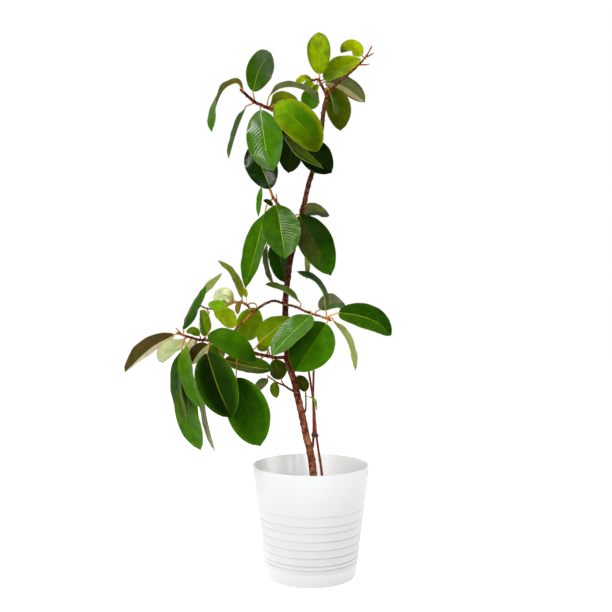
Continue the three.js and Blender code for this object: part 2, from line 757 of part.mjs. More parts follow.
// A flat ring round the two shoots where they pass each other: an oval wall, extruded upwards.
function tiePart() {
  const first = rodMiddleAt(soilShoot, tiePlace);
  const second = rodMiddleAt(trunkShoot, tiePlace);
  const inner = shootDiameter / 2 + jointGap;
  const outer = ovalRound(first, second, inner + tieThickness);
  outer.holes.push(ovalRound(first, second, inner));
  const geometry = new THREE.ExtrudeGeometry(outer, {
    depth: tieHeight, bevelEnabled: false, curveSegments: 5,
  });
  geometry.translate(0, 0, first.z - tieHeight / 2);
  return part('tie', geometryOf(solidOf(geometry)), 'tie');
}

function rodMiddleAt(stem, down) {
  const height = place([pictureMiddle, down, 0]).z;
  const curve = new THREE.CatmullRomCurve3(stem.path.map(place), false, 'centripetal');
  const middles = curve.getSpacedPoints(400);
  return middles.reduce((best, spot) => (
    Math.abs(spot.z - height) < Math.abs(best.z - height) ? spot : best
  ));
}

// An oval in the ground plan: two half circles round two places, joined by straight sides.
function ovalRound(first, second, radius) {
  const heading = Math.atan2(second.y - first.y, second.x - first.x);
  const shape = new THREE.Shape();
  shape.absarc(second.x, second.y, radius, heading - Math.PI / 2, heading + Math.PI / 2, false);
  shape.absarc(first.x, first.y, radius, heading + Math.PI / 2, heading + Math.PI * 1.5, false);
  shape.closePath();
  return shape;
}

function outerRadius(height) {
  return THREE.MathUtils.lerp(footDiameter, rimDiameter, height / potHeight) / 2;
}

function innerRadius(height) {
  return outerRadius(height) - potWall;
}

// The pot's outside from the foot up: a rounded corner, soft ribs between shallow grooves, and a
// plain upper half.
function outsideProfile() {
  const points = [];
  const corner = footDiameter / 2 - footRounding;
  for (const turn of [0, 30, 60, 90]) {
    const angle = THREE.MathUtils.degToRad(turn);
    const out = corner + footRounding * Math.sin(angle);
    points.push([out, footRounding - footRounding * Math.cos(angle)]);
  }
  for (const [index, height] of ribHeights.entries()) {
    const next = ribHeights[index + 1] ?? height + 8;
    const crest = (height + next) / 2;
    points.push([outerRadius(height) - ribGrooveDepth, height]);
    points.push([outerRadius(crest), crest]);
  }
  return points;
}

function potPart() {
  const lip = potHeight - potWall / 2;
  const rim = rimDiameter / 2;
  const floorEdge = potFloor + 4;
  const profile = [
    [0, 0],
    ...outsideProfile(),
    [rim, lip],
    [rim - 0.5, potHeight - 0.5],
    [rim - potWall / 2, potHeight],
    [rim - potWall + 0.5, potHeight - 0.5],
    [rim - potWall, lip],
    [innerRadius(floorEdge), floorEdge],
    [innerRadius(potFloor) - 4, potFloor],
    [0, potFloor],
  ];
  const points = profile.map(([x, y]) => new THREE.Vector2(x, y));
  const geometry = new THREE.LatheGeometry(points, roundSides);
  geometry.rotateX(Math.PI / 2);
  return part('pot', geometryOf(solidOf(geometry)), 'pot');
}

// The soil fills the pot up to a low mound, with a plain hole for each stem that stands in it.
function soilPart() {
  const top = potHeight - soilBelowRim;
  const wallAt = (height) => innerRadius(height) - holeClearance;
  const profile = [
    [0, potFloor + jointGap],
    [wallAt(potFloor) - 5, potFloor + jointGap],
    [wallAt(potFloor + 5), potFloor + 5],
    [wallAt(top), top],
    [wallAt(top) * 0.62, top + soilMound * 0.7],
    [wallAt(top) * 0.25, top + soilMound],
    [0, top + soilMound],
  ];
  const points = profile.map(([x, y]) => new THREE.Vector2(x, y));
  const geometry = new THREE.LatheGeometry(points, roundSides);
  geometry.rotateX(Math.PI / 2);
  let solid = solidOf(geometry);
  solid = solid.subtract(woodOf(trunk, holeClearance, trunkRings));
  solid = solid.subtract(woodOf(soilShoot, holeClearance, shootRings));
  return part('soil', geometryOf(solid), 'soil');
}

const group = new THREE.Group();
group.add(potPart(), soilPart(), ...plantParts(), tiePart());

export default group;
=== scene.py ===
import math
import random

import bpy
import numpy as np
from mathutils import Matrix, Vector, noise


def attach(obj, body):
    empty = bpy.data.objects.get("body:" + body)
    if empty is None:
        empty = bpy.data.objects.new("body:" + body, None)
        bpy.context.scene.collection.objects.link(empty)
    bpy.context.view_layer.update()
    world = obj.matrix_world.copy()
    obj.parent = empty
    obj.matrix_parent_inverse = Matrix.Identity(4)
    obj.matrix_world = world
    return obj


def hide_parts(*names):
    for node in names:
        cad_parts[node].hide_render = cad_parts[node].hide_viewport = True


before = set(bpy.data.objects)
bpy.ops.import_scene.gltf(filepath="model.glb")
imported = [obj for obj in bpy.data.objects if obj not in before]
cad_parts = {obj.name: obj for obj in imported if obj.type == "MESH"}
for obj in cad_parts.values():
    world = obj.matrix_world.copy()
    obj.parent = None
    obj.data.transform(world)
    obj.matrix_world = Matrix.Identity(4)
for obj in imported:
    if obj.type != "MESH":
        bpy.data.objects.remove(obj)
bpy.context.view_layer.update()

# A rubber plant in a white ribbed pot. Metres, +Z up, the middle of the pot's base at the origin.

view = {
    "eye": (-0.0095, -1.5, 0.508),
    "pictureSide": 612,
    "dotsPerTangent": 791,
    "sensor": 36.0,
}


def addCamera():
    bpy.ops.object.camera_add(location=view["eye"], rotation=(math.pi / 2, 0, 0))
    camera = bpy.context.object
    camera.data.sensor_width = view["sensor"]
    camera.data.lens = view["sensor"] * view["dotsPerTangent"] / view["pictureSide"]
    bpy.context.scene.camera = camera


addCamera()
print("camera set")


# Colours, as a picture shows them: red, green and blue from 0 to 255
leafTones = {
    # the lightest lime is painted light, for a leaf that faces down
    "brightLime": (180, 204, 0), "lime": (158, 172, 0), "limeGreen": (122, 148, 0),
    "limeOlive": (86, 124, 0), "springGreen": (116, 158, 0), "yellowGreen": (136, 158, 0),
    "yellowOlive": (122, 132, 8), "gold": (168, 158, 6), "sunGreen": (94, 122, 0),
    "brightGreen": (62, 116, 0), "freshGreen": (54, 98, 0), "glossGreen": (38, 80, 0),
    "midGreen": (34, 68, 0), "deepGreen": (20, 54, 0), "darkGreen": (12, 42, 2), "blackGreen": (6, 26, 2),
    "greyGreen": (58, 94, 22), "greyOlive": (92, 100, 62), "grassOlive": (78, 102, 0),
    "oliveGreen": (66, 84, 0), "olive": (58, 70, 2), "darkOlive": (42, 52, 2), "dullOlive": (62, 70, 30),
    "brownOlive": (94, 90, 10), "brown": (72, 58, 26), "paleGreen": (126, 140, 70),
    "pale": (112, 124, 66), "paleOlive": (142, 152, 92), "stone": (124, 124, 92),
    "paleGrey": (190, 196, 158), "white": (220, 226, 192), "mauve": (156, 144, 114),
    "pinkGrey": (184, 170, 162), "pinkBrown": (134, 114, 40),
}
woodTones = {
    "footBark": (120, 66, 42), "trunkBark": (96, 50, 32), "redBark": (84, 38, 20),
    # the darkest bark tone is painted shade, for wood that the leaves shade
    "darkBark": (50, 24, 14), "topBark": (112, 60, 34), "redBranch": (88, 38, 14),
    "orangeBranch": (128, 68, 18), "tanBranch": (140, 88, 40), "darkBranch": (72, 40, 18),
    "greenBranch": (132, 104, 20), "pinkBranch": (172, 116, 78), "shoot": (122, 44, 16),
    "shootTip": (104, 38, 18), "stalkFoot": (168, 78, 16), "stalk": (176, 132, 26), "rib": (158, 176, 70),
    "bud": (150, 34, 16), "redTwig": (158, 54, 24),
}


# From a picture's tone to the shares of light that a shader works with
def tone(red, green, blue):
    shares = np.array([red, green, blue]) / 255
    return np.where(shares <= 0.04045, shares / 12.92, ((shares + 0.055) / 1.055) ** 2.4)


# Where the wood grows. A place is (dots to the right in a picture 612 dots wide, dots down,
# millimetres behind the middle of the pot). Widths, at the foot and at the tip, are in millimetres.
# Bark is its tones from the foot to the tip, then the spacing and height of its ring scars and
# the height of its leaf scars, in metres.
plant = {}
plant["trunk"] = {
    "path": [(314.4, 514, 2), (313.9, 496, 2), (313.3, 474, 1), (310.3, 452, 0), (306.4, 436.5, -2),
        (302.4, 417, -4), (298, 398, -5), (294, 380, -4), (290.4, 370, -2), (287.6, 360, 1),
        (287, 345, 4), (285.5, 320, 8), (285.5, 300, 10), (287.8, 279, 10), (290.4, 260, 8),
        (293.9, 246, 5), (302.8, 210, 0), (308.7, 184, -4), (313.6, 168, -6), (318, 150, -6),
        (321, 134.6, -4), (324.3, 106.6, 0), (327.2, 95.9, 2)],
    "width": (15, 7.8),
    # the darkest tones along the trunk are painted shade, where the leaves shade it
    "bark": ("footBark footBark trunkBark redBark redBark darkBark trunkBark darkBark topBark",
        0.014, 0.0004, 0.0009),
}
plant["leafy_stem_top_left"] = {
    "path": [(327.2, 95.9, 2), (323.5, 89, -1), (320.8, 83.8, -4), (318.6, 79.4, -7), (313.4, 80.4, -9)],
    "width": (6.6, 3.8),
    "bark": ("topBark orangeBranch", 0.009, 0.0003, 0.0006),
}
plant["leafy_stem_top_right"] = {
    "path": [(327.2, 95.9, 2), (331, 91, 4), (336, 85, 6), (347.6, 74.8, 8), (359, 64.6, 6),
        (366, 56.7, 4), (370.6, 48.5, 2)],
    "width": (6.2, 2.6),
    "bark": ("topBark redBranch orangeBranch tanBranch", 0.0062, 0.0006, 0.0013),
    "twigs": [
        ([(365.2, 57.6, 4), (369.5, 55.5, 8), (373.8, 52.8, 13)], 3.2, 2.2),
        ([(359, 64.6, 6), (364.5, 64.8, 1), (370.2, 64, -5)], 3.2, 2),
    ],
}
plant["leafy_stem_upper_left"] = {
    "path": [(319.8, 140, -5), (308, 130, -18), (296, 121, -29), (284, 114.5, -38), (272, 109.8, -44),
        (267.6, 107.8, -46), (254.8, 102, -52), (243.5, 92.3, -58)],
    "width": (8.4, 5.2),
    "bark": ("redBranch redBranch", 0.0075, 0.0004, 0.0009),
    "twigs": [
        ([(268, 108, -46), (271, 109.4, -49), (273, 110.4, -52)], 4.6, 2.2),
    ],
}
plant["leafy_stem_middle"] = {
    "path": [(298.6, 226, 2), (291, 218, -7), (283, 209.5, -16), (277, 203, -22), (272.5, 196, -27),
        (270.6, 191, -29)],
    "width": (7.4, 4.4),
    "bark": ("redBranch orangeBranch", 0.009, 0.0003, 0.0006),
    "twigs": [
        ([(277.4, 203.4, -22), (276.6, 198.5, -24), (276, 193.5, -25)], 2.8, 1.6),
    ],
}
plant["leafy_stem_left"] = {
    "path": [(287, 357, 2), (280.5, 357.6, -6), (274.6, 357.4, -13), (267.6, 356.1, -20),
        (256, 353.6, -30), (238, 348.5, -44), (222, 343.4, -54), (208, 340.4, -61), (199, 339.7, -65),
        (189.6, 337.2, -69), (180, 334, -73)],
    "width": (7, 4.2),
    "bark": ("redBranch orangeBranch redBranch darkBranch orangeBranch", 0.0075, 0.0004, 0.0009),
    "twigs": [
        ([(264, 355.4, -23), (261.6, 358, -26), (260, 361, -28)], 3.4, 2.6),
        ([(266.4, 355.8, -21), (267.6, 352.6, -22), (268.6, 348.6, -23)], 3.4, 2.6),
        ([(182.4, 334.9, -72), (179, 331.5, -74), (175.6, 327.8, -76)], 2.8, 1.6),
    ],
}
plant["leafy_stem_right"] = {
    "path": [(238.6, 348.7, -44), (235.6, 340, -52), (235.4, 330.5, -57), (243.8, 321.2, -58),
        (254.6, 311, -56), (266, 303.4, -50), (274.4, 300.8, -44), (284.6, 304, -36), (296, 307, -30),
        (308.9, 312.9, -30), (319.7, 316, -32), (328, 319.3, -34)],
    "width": (5.6, 4),
    "bark": ("redBranch redBranch tanBranch tanBranch darkBranch darkBranch redBark tanBranch "
        "orangeBranch greenBranch", 0.0068, 0.0006, 0.0008),
}
plant["leafy_stem_back_left"] = {
    "path": [(252, 313.4, -56.5), (248, 306, -44), (242.5, 302.7, -30), (236, 302.4, -14),
        (228.5, 303.4, 2), (219, 306, 18), (210, 309, 32), (200.4, 306, 46)],
    "width": (4.8, 3.6),
    "bark": ("tanBranch pinkBranch pinkBranch tanBranch", 0.009, 0.0003, 0.0006),
}
plant["leafy_twig_low_left"] = {
    "path": [(297.6, 393, -5), (291, 390, -10), (284.2, 385.5, -15), (277.2, 382.6, -20),
        (269.5, 377.2, -24)],
    "width": (4.6, 2.6),
    "bark": ("redBranch redBranch", 0.007, 0.0002, 0.0004),
    "twigs": [
        ([(285, 386, -14.6), (282, 381.6, -15), (280, 377.4, -15)], 2.8, 2),
    ],
}
plant["leafy_twig_low_right"] = {
    "path": [(301.8, 414, -4), (304.8, 411.6, -4), (305.9, 405.5, -2), (305.6, 394.6, 2)],
    "width": (3.8, 2.4),
    # its darkest tone is painted shade, under the leaves
    "bark": ("darkBark darkBranch", 0.007, 0.0002, 0.0004),
}

shoots = {}
shoots["thin_shoot_soil"] = {
    "path": [(323, 512, -15), (322.6, 496, -15), (321.7, 473.3, -15), (318.7, 451.8, -14),
        (316, 432.7, -12), (314.5, 413.6, -10), (312.9, 398.3, -8), (311, 385.3, -6), (308.7, 370.7, -3),
        (307, 352, 0), (308, 336, 2)],
    "width": (5, 3.8),
    "bark": ("redBranch shootTip shoot shootTip shoot", 0.022, 0.0001, 0.0003),
}
shoots["thin_shoot_trunk"] = {
    "path": [(310, 451, 0), (312.4, 447.6, 0), (313.5, 432.7, 0), (313.5, 413.6, 2), (313.2, 394.4, 6),
        (313.7, 371.5, 10), (314.4, 352, 12), (315.4, 338, 12)],
    "width": (4.8, 3.8),
    "bark": ("shoot shoot shootTip", 0.018, 0.0001, 0.0003),
}


# A leaf has the places of its stalk, those of its midrib, its width, its roll (at the foot and at
# the tip, if they differ: at 0 its upper face looks at the eye, and at 180 its underside does)
# and the tones of both faces, then those of its zones and its own values for leafBlade. The
# tones of its left and right halves are painted light and shade: one half of the fold is made
# lighter than the other, as light falls on it.
def leaf(stalk, blade, width, roll, upper, under="pale", **more):
    return {"stalk": stalk, "blade": blade, "width": width, "roll": roll,
            "upper": upper, "under": under, **more}


leaves = {}
leaves["trunk"] = {
    "backRight": leaf([(299.8, 220, 1), (300.4, 215.5, 9)], [(301.8, 214.5, 12), (315, 211.8, 36),
        (328.2, 213.6, 58)], 42, -50, "pale", right="dullOlive", slimness=0.34, dripTip=0),
    "hangingDark": leaf([(292.4, 252, 6), (284, 244, 20), (277.5, 237, 28)], [(276.5, 240, 32),
        (281, 262, 40), (285.3, 283, 50)], 50, 35, "deepGreen", "dullOlive", rib=0.2),
    "hangingNarrow": leaf([(291.6, 256, 7), (280, 247, -2), (268, 242, -8)], [(266.5, 245, -8),
        (268.4, 265, -10), (273.2, 284, -6)], 38, 72, "olive", "dullOlive"),
    "sliver": leaf([(292.6, 249, 6), (298, 245, 15), (302.4, 246, 22)], [(305, 250, 26), (306.8, 265, 28),
        (306.6, 279.4, 28)], 15, -48, "paleOlive", "darkOlive", tip="brown"),
}
leaves["leafy_stem_top_left"] = {
    "topmost": leaf([(319, 80, -6), (319.6, 77.5, -6)], [(319.5, 74.2, -5), (318.8, 53, 0),
        (318.6, 32.1, 20)], 46, (5, -5), "yellowGreen", "lime", right="limeGreen", margin="limeOlive",
        rib=0.9),
    "rightBehind": leaf([(319.7, 81.4, -5.6), (322.4, 80, 1)], [(325, 80, 6), (341, 68.5, 28),
        (360.6, 58.5, 46)], 50, -36, "limeGreen", "limeGreen", tip="lime", rib=0.6),
    "rightUnderside": leaf([(321.6, 85.3, -2), (323, 82.6, 6)], [(325.6, 81.5, 12), (345, 87, 30),
        (365.2, 102.4, 50)], 44, 215, "limeGreen", "greyOlive", underLeft="mauve", underMargin="brown",
        rib=0.3),
    "hangingRight": leaf([(324.5, 90.5, 0), (326.2, 88, 9)], [(328.4, 88.4, 17), (337, 104, 26),
        (340.6, 130.8, 38)], 50, (-4, -12), "oliveGreen", "olive", foot="olive", margin="brownOlive",
        rib=0.2),
    "hangingEdge": leaf([(325.5, 92.5, 1), (328, 88, -8)], [(329, 90, -12), (333, 102, -24),
        (334.8, 114, -44)], 28, (-76, -80), "greyGreen", "darkOlive"),
    "youngLeft": leaf([(314, 80.2, -9), (312.8, 79, -11)], [(311.9, 79.3, -12), (303, 79.5, -20),
        (296.3, 86.6, -28)], 20, (50, 40), "lime", "deepGreen", foot="olive"),
    "youngDark": leaf([(314.6, 80, -8), (313.6, 80.5, -3)], [(312.6, 81.5, 0), (307.5, 84, 5),
        (303, 89.5, 10)], 17, (60, 50), "limeOlive", "blackGreen"),
    "youngYellow": leaf([(315, 80.1, -8), (314.2, 82, -10)], [(313.4, 83, -11), (310.5, 86, -15),
        (308, 89.8, -19)], 11, (25, 15), "lime", "deepGreen"),
    "youngGreen": leaf([(317.6, 79.8, -7), (317.4, 83, -4)], [(317, 84.5, -3), (314.5, 89.5, -5),
        (311, 94.5, -9)], 17, 30, "lime", "darkOlive"),
    "hangingBehind": leaf([(321.2, 84.6, -3), (318, 86, 8)], [(315, 88.6, 14), (311, 98, 26),
        (309.5, 109.5, 46)], 38, 12, "brightGreen"),
}
leaves["leafy_stem_top_right"] = {
    "curledTip": leaf([(366, 56.7, 4), (364, 57.5, 1)], [(362, 55.5, -1), (356, 49.6, -5),
        (349.5, 47.4, -10), (340.9, 52.8, -17)], 31, (6, 52), "lime", "limeGreen", tip="midGreen"),
}
leaves["leafy_stem_upper_left"] = {
    "archingOver": leaf([(267.2, 107.6, -46), (267.4, 103, -46), (268.6, 98, -46)], [(269.8, 95, -46),
        (279, 88.5, -44), (292, 86.7, -40), (308, 92, -32), (319.9, 103.5, -24)], 44, (257, 255),
        "oliveGreen", "greyOlive"),
    "brownBehind": leaf([(270, 108.9, -45), (269.6, 106.5, -41)], [(270, 105.6, -33), (282, 99.5, -10),
        (299, 104.6, 12)], 36, 226, "darkOlive", "yellowOlive"),
    "uprightDark": leaf([(254.8, 102, -52), (253.9, 97, -54), (253, 93.5, -55)], [(252.8, 91.2, -55),
        (258.5, 71, -45), (271, 53, -8)], 54, (14, 22), "greyGreen", left="freshGreen", gloss=0.7, rib=1),
    "archingLeft": leaf([(244.4, 93, -57.5), (243.4, 91.4, -60)], [(242.8, 89.5, -61), (237.5, 82.8, -64),
        (226, 87, -70), (217.4, 101, -76), (211.7, 132, -84)], 52, (112, 60), "freshGreen", "brownOlive"),
    "edgeOnLeft": leaf([(255.5, 102.6, -51.5), (250, 104.6, -46), (246, 106.4, -42)], [(245, 108, -40),
        (236.6, 130, -38), (228.7, 158.6, -44)], 42, 78, "greyGreen", "deepGreen"),
    # its lighter left half is a painted highlight, for the glare on that half
    "glossyFront": leaf([(263, 105.9, -48.5), (260.2, 107.6, -54)], [(260.2, 110, -59), (263, 129.5, -75),
        (266.3, 150.6, -80), (273.4, 171, -78)], 66, 4, "freshGreen", left="brightGreen", fold=-2,
        camber=0.16, gloss=1, rib=1),
    "limeFront": leaf([(271.2, 109.3, -45), (272.8, 105.6, -48)], [(276.4, 104.4, -50),
        (292.4, 116.8, -61), (307, 132, -64), (317.9, 151.5, -58)], 66, (-14, -10), "freshGreen", "olive",
        right="limeOlive", foot="springGreen", tip="oliveGreen", margin="yellowOlive", slimness=0.44,
        rib=0.35),
    "darkBehind": leaf([(289, 117, -34), (286.4, 121, -24)], [(286.6, 126, -16), (291, 149, 2),
        (288.4, 173, 24)], 54, (20, 16), "blackGreen", "dullOlive", rib=0.1),
    "edgeOnMiddle": leaf([(283, 114, -39), (281, 124, -46), (281, 131, -50)], [(282.2, 134.6, -52),
        (301, 155.5, -62), (323.6, 168.8, -58)], 42, (-64, -66), "grassOlive", right="deepGreen",
        margin="pale", rib=0.3),
    "darkRound": leaf([(307.6, 129.6, -18.5), (303.5, 134, -20), (302.5, 138, -22)], [(303, 141.5, -23),
        (316, 157, -27), (331.6, 173, -24)], 58, -12, "blackGreen", "dullOlive", rib=0.1),
}
leaves["leafy_stem_middle"] = {
    "uprightDark": leaf([(272, 195, -27.5), (270.6, 191.6, -33)], [(270.4, 188.5, -35), (262, 168, -30),
        (251, 145, -12)], 60, (4, 0), "darkGreen", "dullOlive", gloss=1, rib=0.9),
    "glossyFront": leaf([(277.6, 203.7, -21), (276, 203.4, -29)], [(276.3, 205, -34), (281, 230, -56),
        (285.5, 258.8, -92)], 72, -4, "freshGreen", gloss=0.65, rib=1),
    "longHanging": leaf([(273.6, 198, -26), (268, 203, -23), (266, 208, -23)], [(265, 213, -24),
        (256, 250, -30), (245, 289, -30)], 60, 46, "freshGreen", slimness=0.8, rib=1),
    "narrowYoung": leaf([(271.2, 193, -28.5), (267, 186, -22), (263, 184, -19)], [(261.4, 187, -18),
        (259.8, 202, -18), (258.4, 217, -20)], 17, (48, 50), "brightGreen", slimness=0.8),
    "greyYoung": leaf([(277.6, 203.7, -21.5), (274.6, 205.6, -25)], [(272.8, 205.8, -26.5),
        (268, 202, -30), (263.3, 200.2, -32)], 11, 30, "deepGreen", "darkOlive"),
    "frontOfTrunk": leaf([(293, 220, -4.5), (296.5, 214.5, -14)], [(299.5, 215.5, -20), (313, 239, -40),
        (331, 275.6, -50)], 66, (-14, -10), "darkGreen", "dullOlive", right="dullOlive", tip="glossGreen",
        rib=0.1),
}
leaves["leafy_stem_left"] = {
    "uprightGlossy": leaf([(183, 335, -71.5), (183.4, 332.6, -77)], [(183.8, 329.5, -80), (192, 307, -85),
        (206, 286, -74)], 46, (66, 68), "freshGreen", right="brightGreen", foot="midGreen", gloss=0.4),
    "uprightGreen": leaf([(203, 340, -63.4), (204.4, 338, -61)], [(206.2, 335.6, -61), (203, 322.5, -74),
        (199.8, 310.4, -98)], 34, (36, 60), "limeGreen", left="brightGreen"),
    "overBranch": leaf([(206.2, 340.3, -62), (205.4, 336.4, -70)], [(208.4, 334.3, -76),
        (222, 338.8, -88), (238, 348.4, -90), (256.4, 361, -78)], 50, (-28, -30), "freshGreen", "olive",
        tip="deepGreen", rib=0.15),
    "underBranch": leaf([(218, 342.6, -56), (219.6, 352, -52)], [(224.6, 359.4, -50), (248, 366, -48),
        (273, 370, -38)], 46, 222, "midGreen", "oliveGreen", underTip="midGreen"),
    "smallGreen": leaf([(270, 356.7, -18), (269, 352, -11)], [(267.6, 350, -8), (263, 347, -1),
        (259, 344, 8)], 24, 20, "limeGreen"),
    "underDark": leaf([(272.5, 357.2, -15.5), (272, 358.4, -8)], [(272.6, 360.6, -3), (277.5, 369, 6),
        (282, 379, 18)], 36, -10, "olive", "dullOlive"),
    "oliveFront": leaf([(249, 351.8, -36), (254.6, 348.6, -46)], [(259, 342.6, -50), (275, 329.5, -38),
        (291, 317, -12)], 56, (172, 168), "midGreen", "sunGreen"),
    "behindDark": leaf([(212, 341.2, -59), (209.5, 344.4, -50)], [(209, 347, -45), (215, 353, -30),
        (222, 361, -8)], 42, -16, "limeOlive"),
    "bigDark": leaf([(208.4, 340.5, -61), (210.8, 343.4, -76), (208.6, 348.6, -84)], [(207, 353, -88),
        (213.6, 374.4, -106), (219.7, 392, -112), (226.6, 407, -110), (231.4, 417.8, -106)], 72, (4, -2),
        "darkGreen", "dullOlive", right="blackGreen", margin="glossGreen", rib=0.55),
    "bigLow": leaf([(231.4, 346.6, -48), (236, 352, -64), (236.6, 366, -73)], [(236, 378, -74),
        (247, 410, -84), (260.3, 446, -74)], 78, (-4, -8), "deepGreen", "olive", foot="darkGreen",
        tip="glossGreen", margin="freshGreen", rib=0.05),
    "brightNarrow": leaf([(192, 337.8, -68), (189.4, 341.6, -76)], [(185, 346.9, -78), (188, 368, -88),
        (195, 391, -90), (202.9, 408.9, -86)], 54, (58, 60), "freshGreen", "olive", foot="limeOlive",
        rib=0.15),
    "oliveNarrow": leaf([(186, 336, -70.5), (183, 344, -58)], [(181.4, 352, -52), (178.6, 386, -47),
        (186, 421.9, -46)], 50, (64, 62), "midGreen", "dullOlive", tip="oliveGreen", rib=0.1),
    "stripedLow": leaf([(197.4, 339.5, -65.5), (192, 352, -54), (189.6, 366, -44)], [(188, 376, -40),
        (189, 414, -26), (200.6, 450.2, -14)], 56, 36, "freshGreen", "olive", foot="olive", gloss=0.45,
        rib=0.3),
    "edgeOnLow": leaf([(202.6, 340, -63.5), (203.6, 352, -50), (202.6, 370, -40)], [(202, 380, -36),
        (206, 416, -28), (215.1, 451.7, -22)], 48, 78, "stone", "stone", margin="greyOlive"),
    "farLeft": leaf([(181, 334.4, -72.5), (177.6, 334, -76)], [(174.4, 334.6, -78), (152, 347, -84),
        (124.7, 372.2, -78)], 56, (122, 118), "darkOlive", "brown", underRight="pinkGrey"),
    "underFarLeft": leaf([(188.4, 336.9, -69.5), (185.6, 338.2, -60)], [(183, 339.4, -54),
        (172, 349, -36), (162, 363.5, -14)], 50, 132, "midGreen", "paleGrey"),
    "smallOlive": leaf([(200, 339.8, -64.5), (200.4, 337.4, -60)], [(199.4, 335.4, -58),
        (193, 331.6, -55), (186.6, 330.4, -48)], 21, 40, "sunGreen", "olive"),
    "foldedBrown": leaf([(211.4, 341.1, -59.5), (210, 342.6, -61)], [(207.6, 344.4, -62),
        (200, 351.6, -67), (190.8, 364.5, -72)], 34, 146, "darkOlive", "paleGrey", underLeft="brown"),
    "paleBehind": leaf([(195.4, 339, -66.5), (196.4, 339.6, -58)], [(196, 341.5, -54), (191.5, 347, -46),
        (187, 354, -34)], 26, 24, "white", "deepGreen"),
}
leaves["leafy_stem_right"] = {
    "glossyFront": leaf([(306, 311.4, -29.5), (311, 311.6, -38)], [(311.4, 315.5, -46), (293, 332.5, -74),
        (271.3, 355.7, -84)], 54, (34, 38), "freshGreen", gloss=0.9, rib=0.8),
    "broadFront": leaf([(324.6, 317.9, -33), (328, 320, -40)], [(326.4, 323.5, -45), (312, 346, -55),
        (294.4, 371.5, -70)], 84, (2, 6), "glossGreen", "olive", right="deepGreen", rib=0.12),
    "farRight": leaf([(326, 318.5, -33.5), (331, 315.4, -37)], [(338.6, 312.8, -40), (358, 315.6, -46),
        (377, 322.6, -46), (391.2, 335.2, -42)], 52, (-26, -30), "deepGreen", right="midGreen",
        slimness=0.47, dripTip=0.12, rib=0.6),
    "edgeOnRight": leaf([(326.6, 318.8, -33.5), (331.6, 318, -28)], [(333.7, 320.5, -26),
        (347.4, 341, -18), (355.4, 371, -20)], 44, (-106, -108), "olive", "paleOlive"),
    "backRight": leaf([(315, 314.6, -31), (316.4, 311.6, -24)], [(320.5, 309.5, -16), (332, 303.5, 14),
        (344, 303, 50)], 44, (-36, -40), "stone", right="greyGreen"),
    "archingBack": leaf([(325.6, 318.3, -33), (326.6, 314, -30)], [(326, 311, -29), (323.6, 294, -24),
        (314, 280.6, -18), (296.8, 271.2, -8)], 38, (86, 58), "glossGreen", "limeGreen"),
    "oliveNarrow": leaf([(299.6, 308.8, -30), (300.8, 304, -36)], [(299, 300.8, -40), (283, 290.6, -52),
        (265.2, 284.6, -66)], 42, (72, 74), "grassOlive", "olive", tip="olive"),
}
leaves["leafy_stem_back_left"] = {
    "uprightYellow": leaf([(241.6, 302.6, -28), (242.2, 300, -26)], [(241.9, 297.6, -25), (232, 276, -16),
        (218, 260, -2)], 42, (68, 70), "yellowOlive", "grassOlive", foot="gold", underFoot="gold"),
    "youngYellow": leaf([(246.4, 305, -40), (246.6, 300, -38)], [(246.2, 297.5, -37.5), (245, 293, -37),
        (244, 287.6, -38)], 10, 30, "lime", "sunGreen"),
    "paleUnderside": leaf([(206.6, 308.2, 37.4), (207.4, 310, 41)], [(208.4, 312.6, 44), (206.6, 319, 57),
        (205.5, 328.5, 86)], 40, 116, "midGreen", "white"),
    "paleArching": leaf([(236.6, 302.4, -15), (235.4, 301.4, -10)], [(234, 300, -4), (225, 295.2, 20),
        (213.6, 300, 50)], 30, 152, "midGreen", "white", underFoot="yellowOlive"),
    "brightGreen": leaf([(233, 302.6, -8), (231.2, 304.4, -3)], [(229, 305.2, 2), (219.5, 306.6, 12),
        (210.6, 301.6, 34)], 34, 40, "springGreen", rib=0.3),
    # its tone is lighter than the leaf's own colour: painted light, since the leaf faces down
    "yellowGreen": leaf([(213.6, 307.8, 26), (213.6, 310, 33)], [(214.4, 312, 40), (225, 317, 56),
        (237, 325, 82)], 38, -20, "brightLime", rib=0.3),
    "pinkYoung": leaf([(241.6, 302.6, -28), (241, 300, -33)], [(240.4, 301, -35), (238, 307, -37),
        (237.6, 314.6, -38)], 11, 10, "pinkBrown", "pinkGrey"),
    "behindBranch": leaf([(247, 304.9, -41), (252, 303, -30), (256, 304.6, -21)], [(257, 308.5, -17),
        (251, 323, -8), (243, 340.5, 4)], 54, (18, 20), "sunGreen", margin="springGreen", rib=0.2),
    "greyFarLeft": leaf([(201, 306.2, 45.4), (197.4, 303, 48)], [(196.6, 299, 50), (208, 284, 56),
        (221.8, 272.8, 60)], 34, (112, 114), "greyGreen", "paleGreen"),
}
leaves["leafy_twig_low_left"] = {
    "brownSmall": leaf([(270.4, 377.8, -23.6), (268.6, 377.4, -26)], [(267.3, 378.6, -28),
        (262, 384.5, -33), (255.5, 391.5, -40)], 25, 42, "greyOlive"),
    "greenSmall": leaf([(276.4, 382.2, -20.4), (274.6, 380.6, -26)], [(274.4, 382, -28),
        (275, 389.5, -33), (276.9, 398, -40)], 19, 10, "oliveGreen"),
}
leaves["leafy_twig_low_right"] = {
    "oliveSmall": leaf([(305.6, 396, 1.4), (305.8, 393.4, 4)], [(305.4, 391.6, 6), (302, 383, 12),
        (297.4, 375.3, 18)], 25, 20, "olive", "olive"),
    "yellowEdge": leaf([(305.7, 398, 0.8), (307, 396.6, -8)], [(308.4, 396.6, -15), (313.2, 399.4, -22),
        (316.6, 411.4, -26)], 16, (-74, -76), "sunGreen", "yellowOlive"),
}


# Small helpers for working by hand in the view
def pick(*things):
    bpy.ops.object.select_all(action="DESELECT")
    for thing in things:
        thing.select_set(True)
    bpy.context.view_layer.objects.active = things[0]


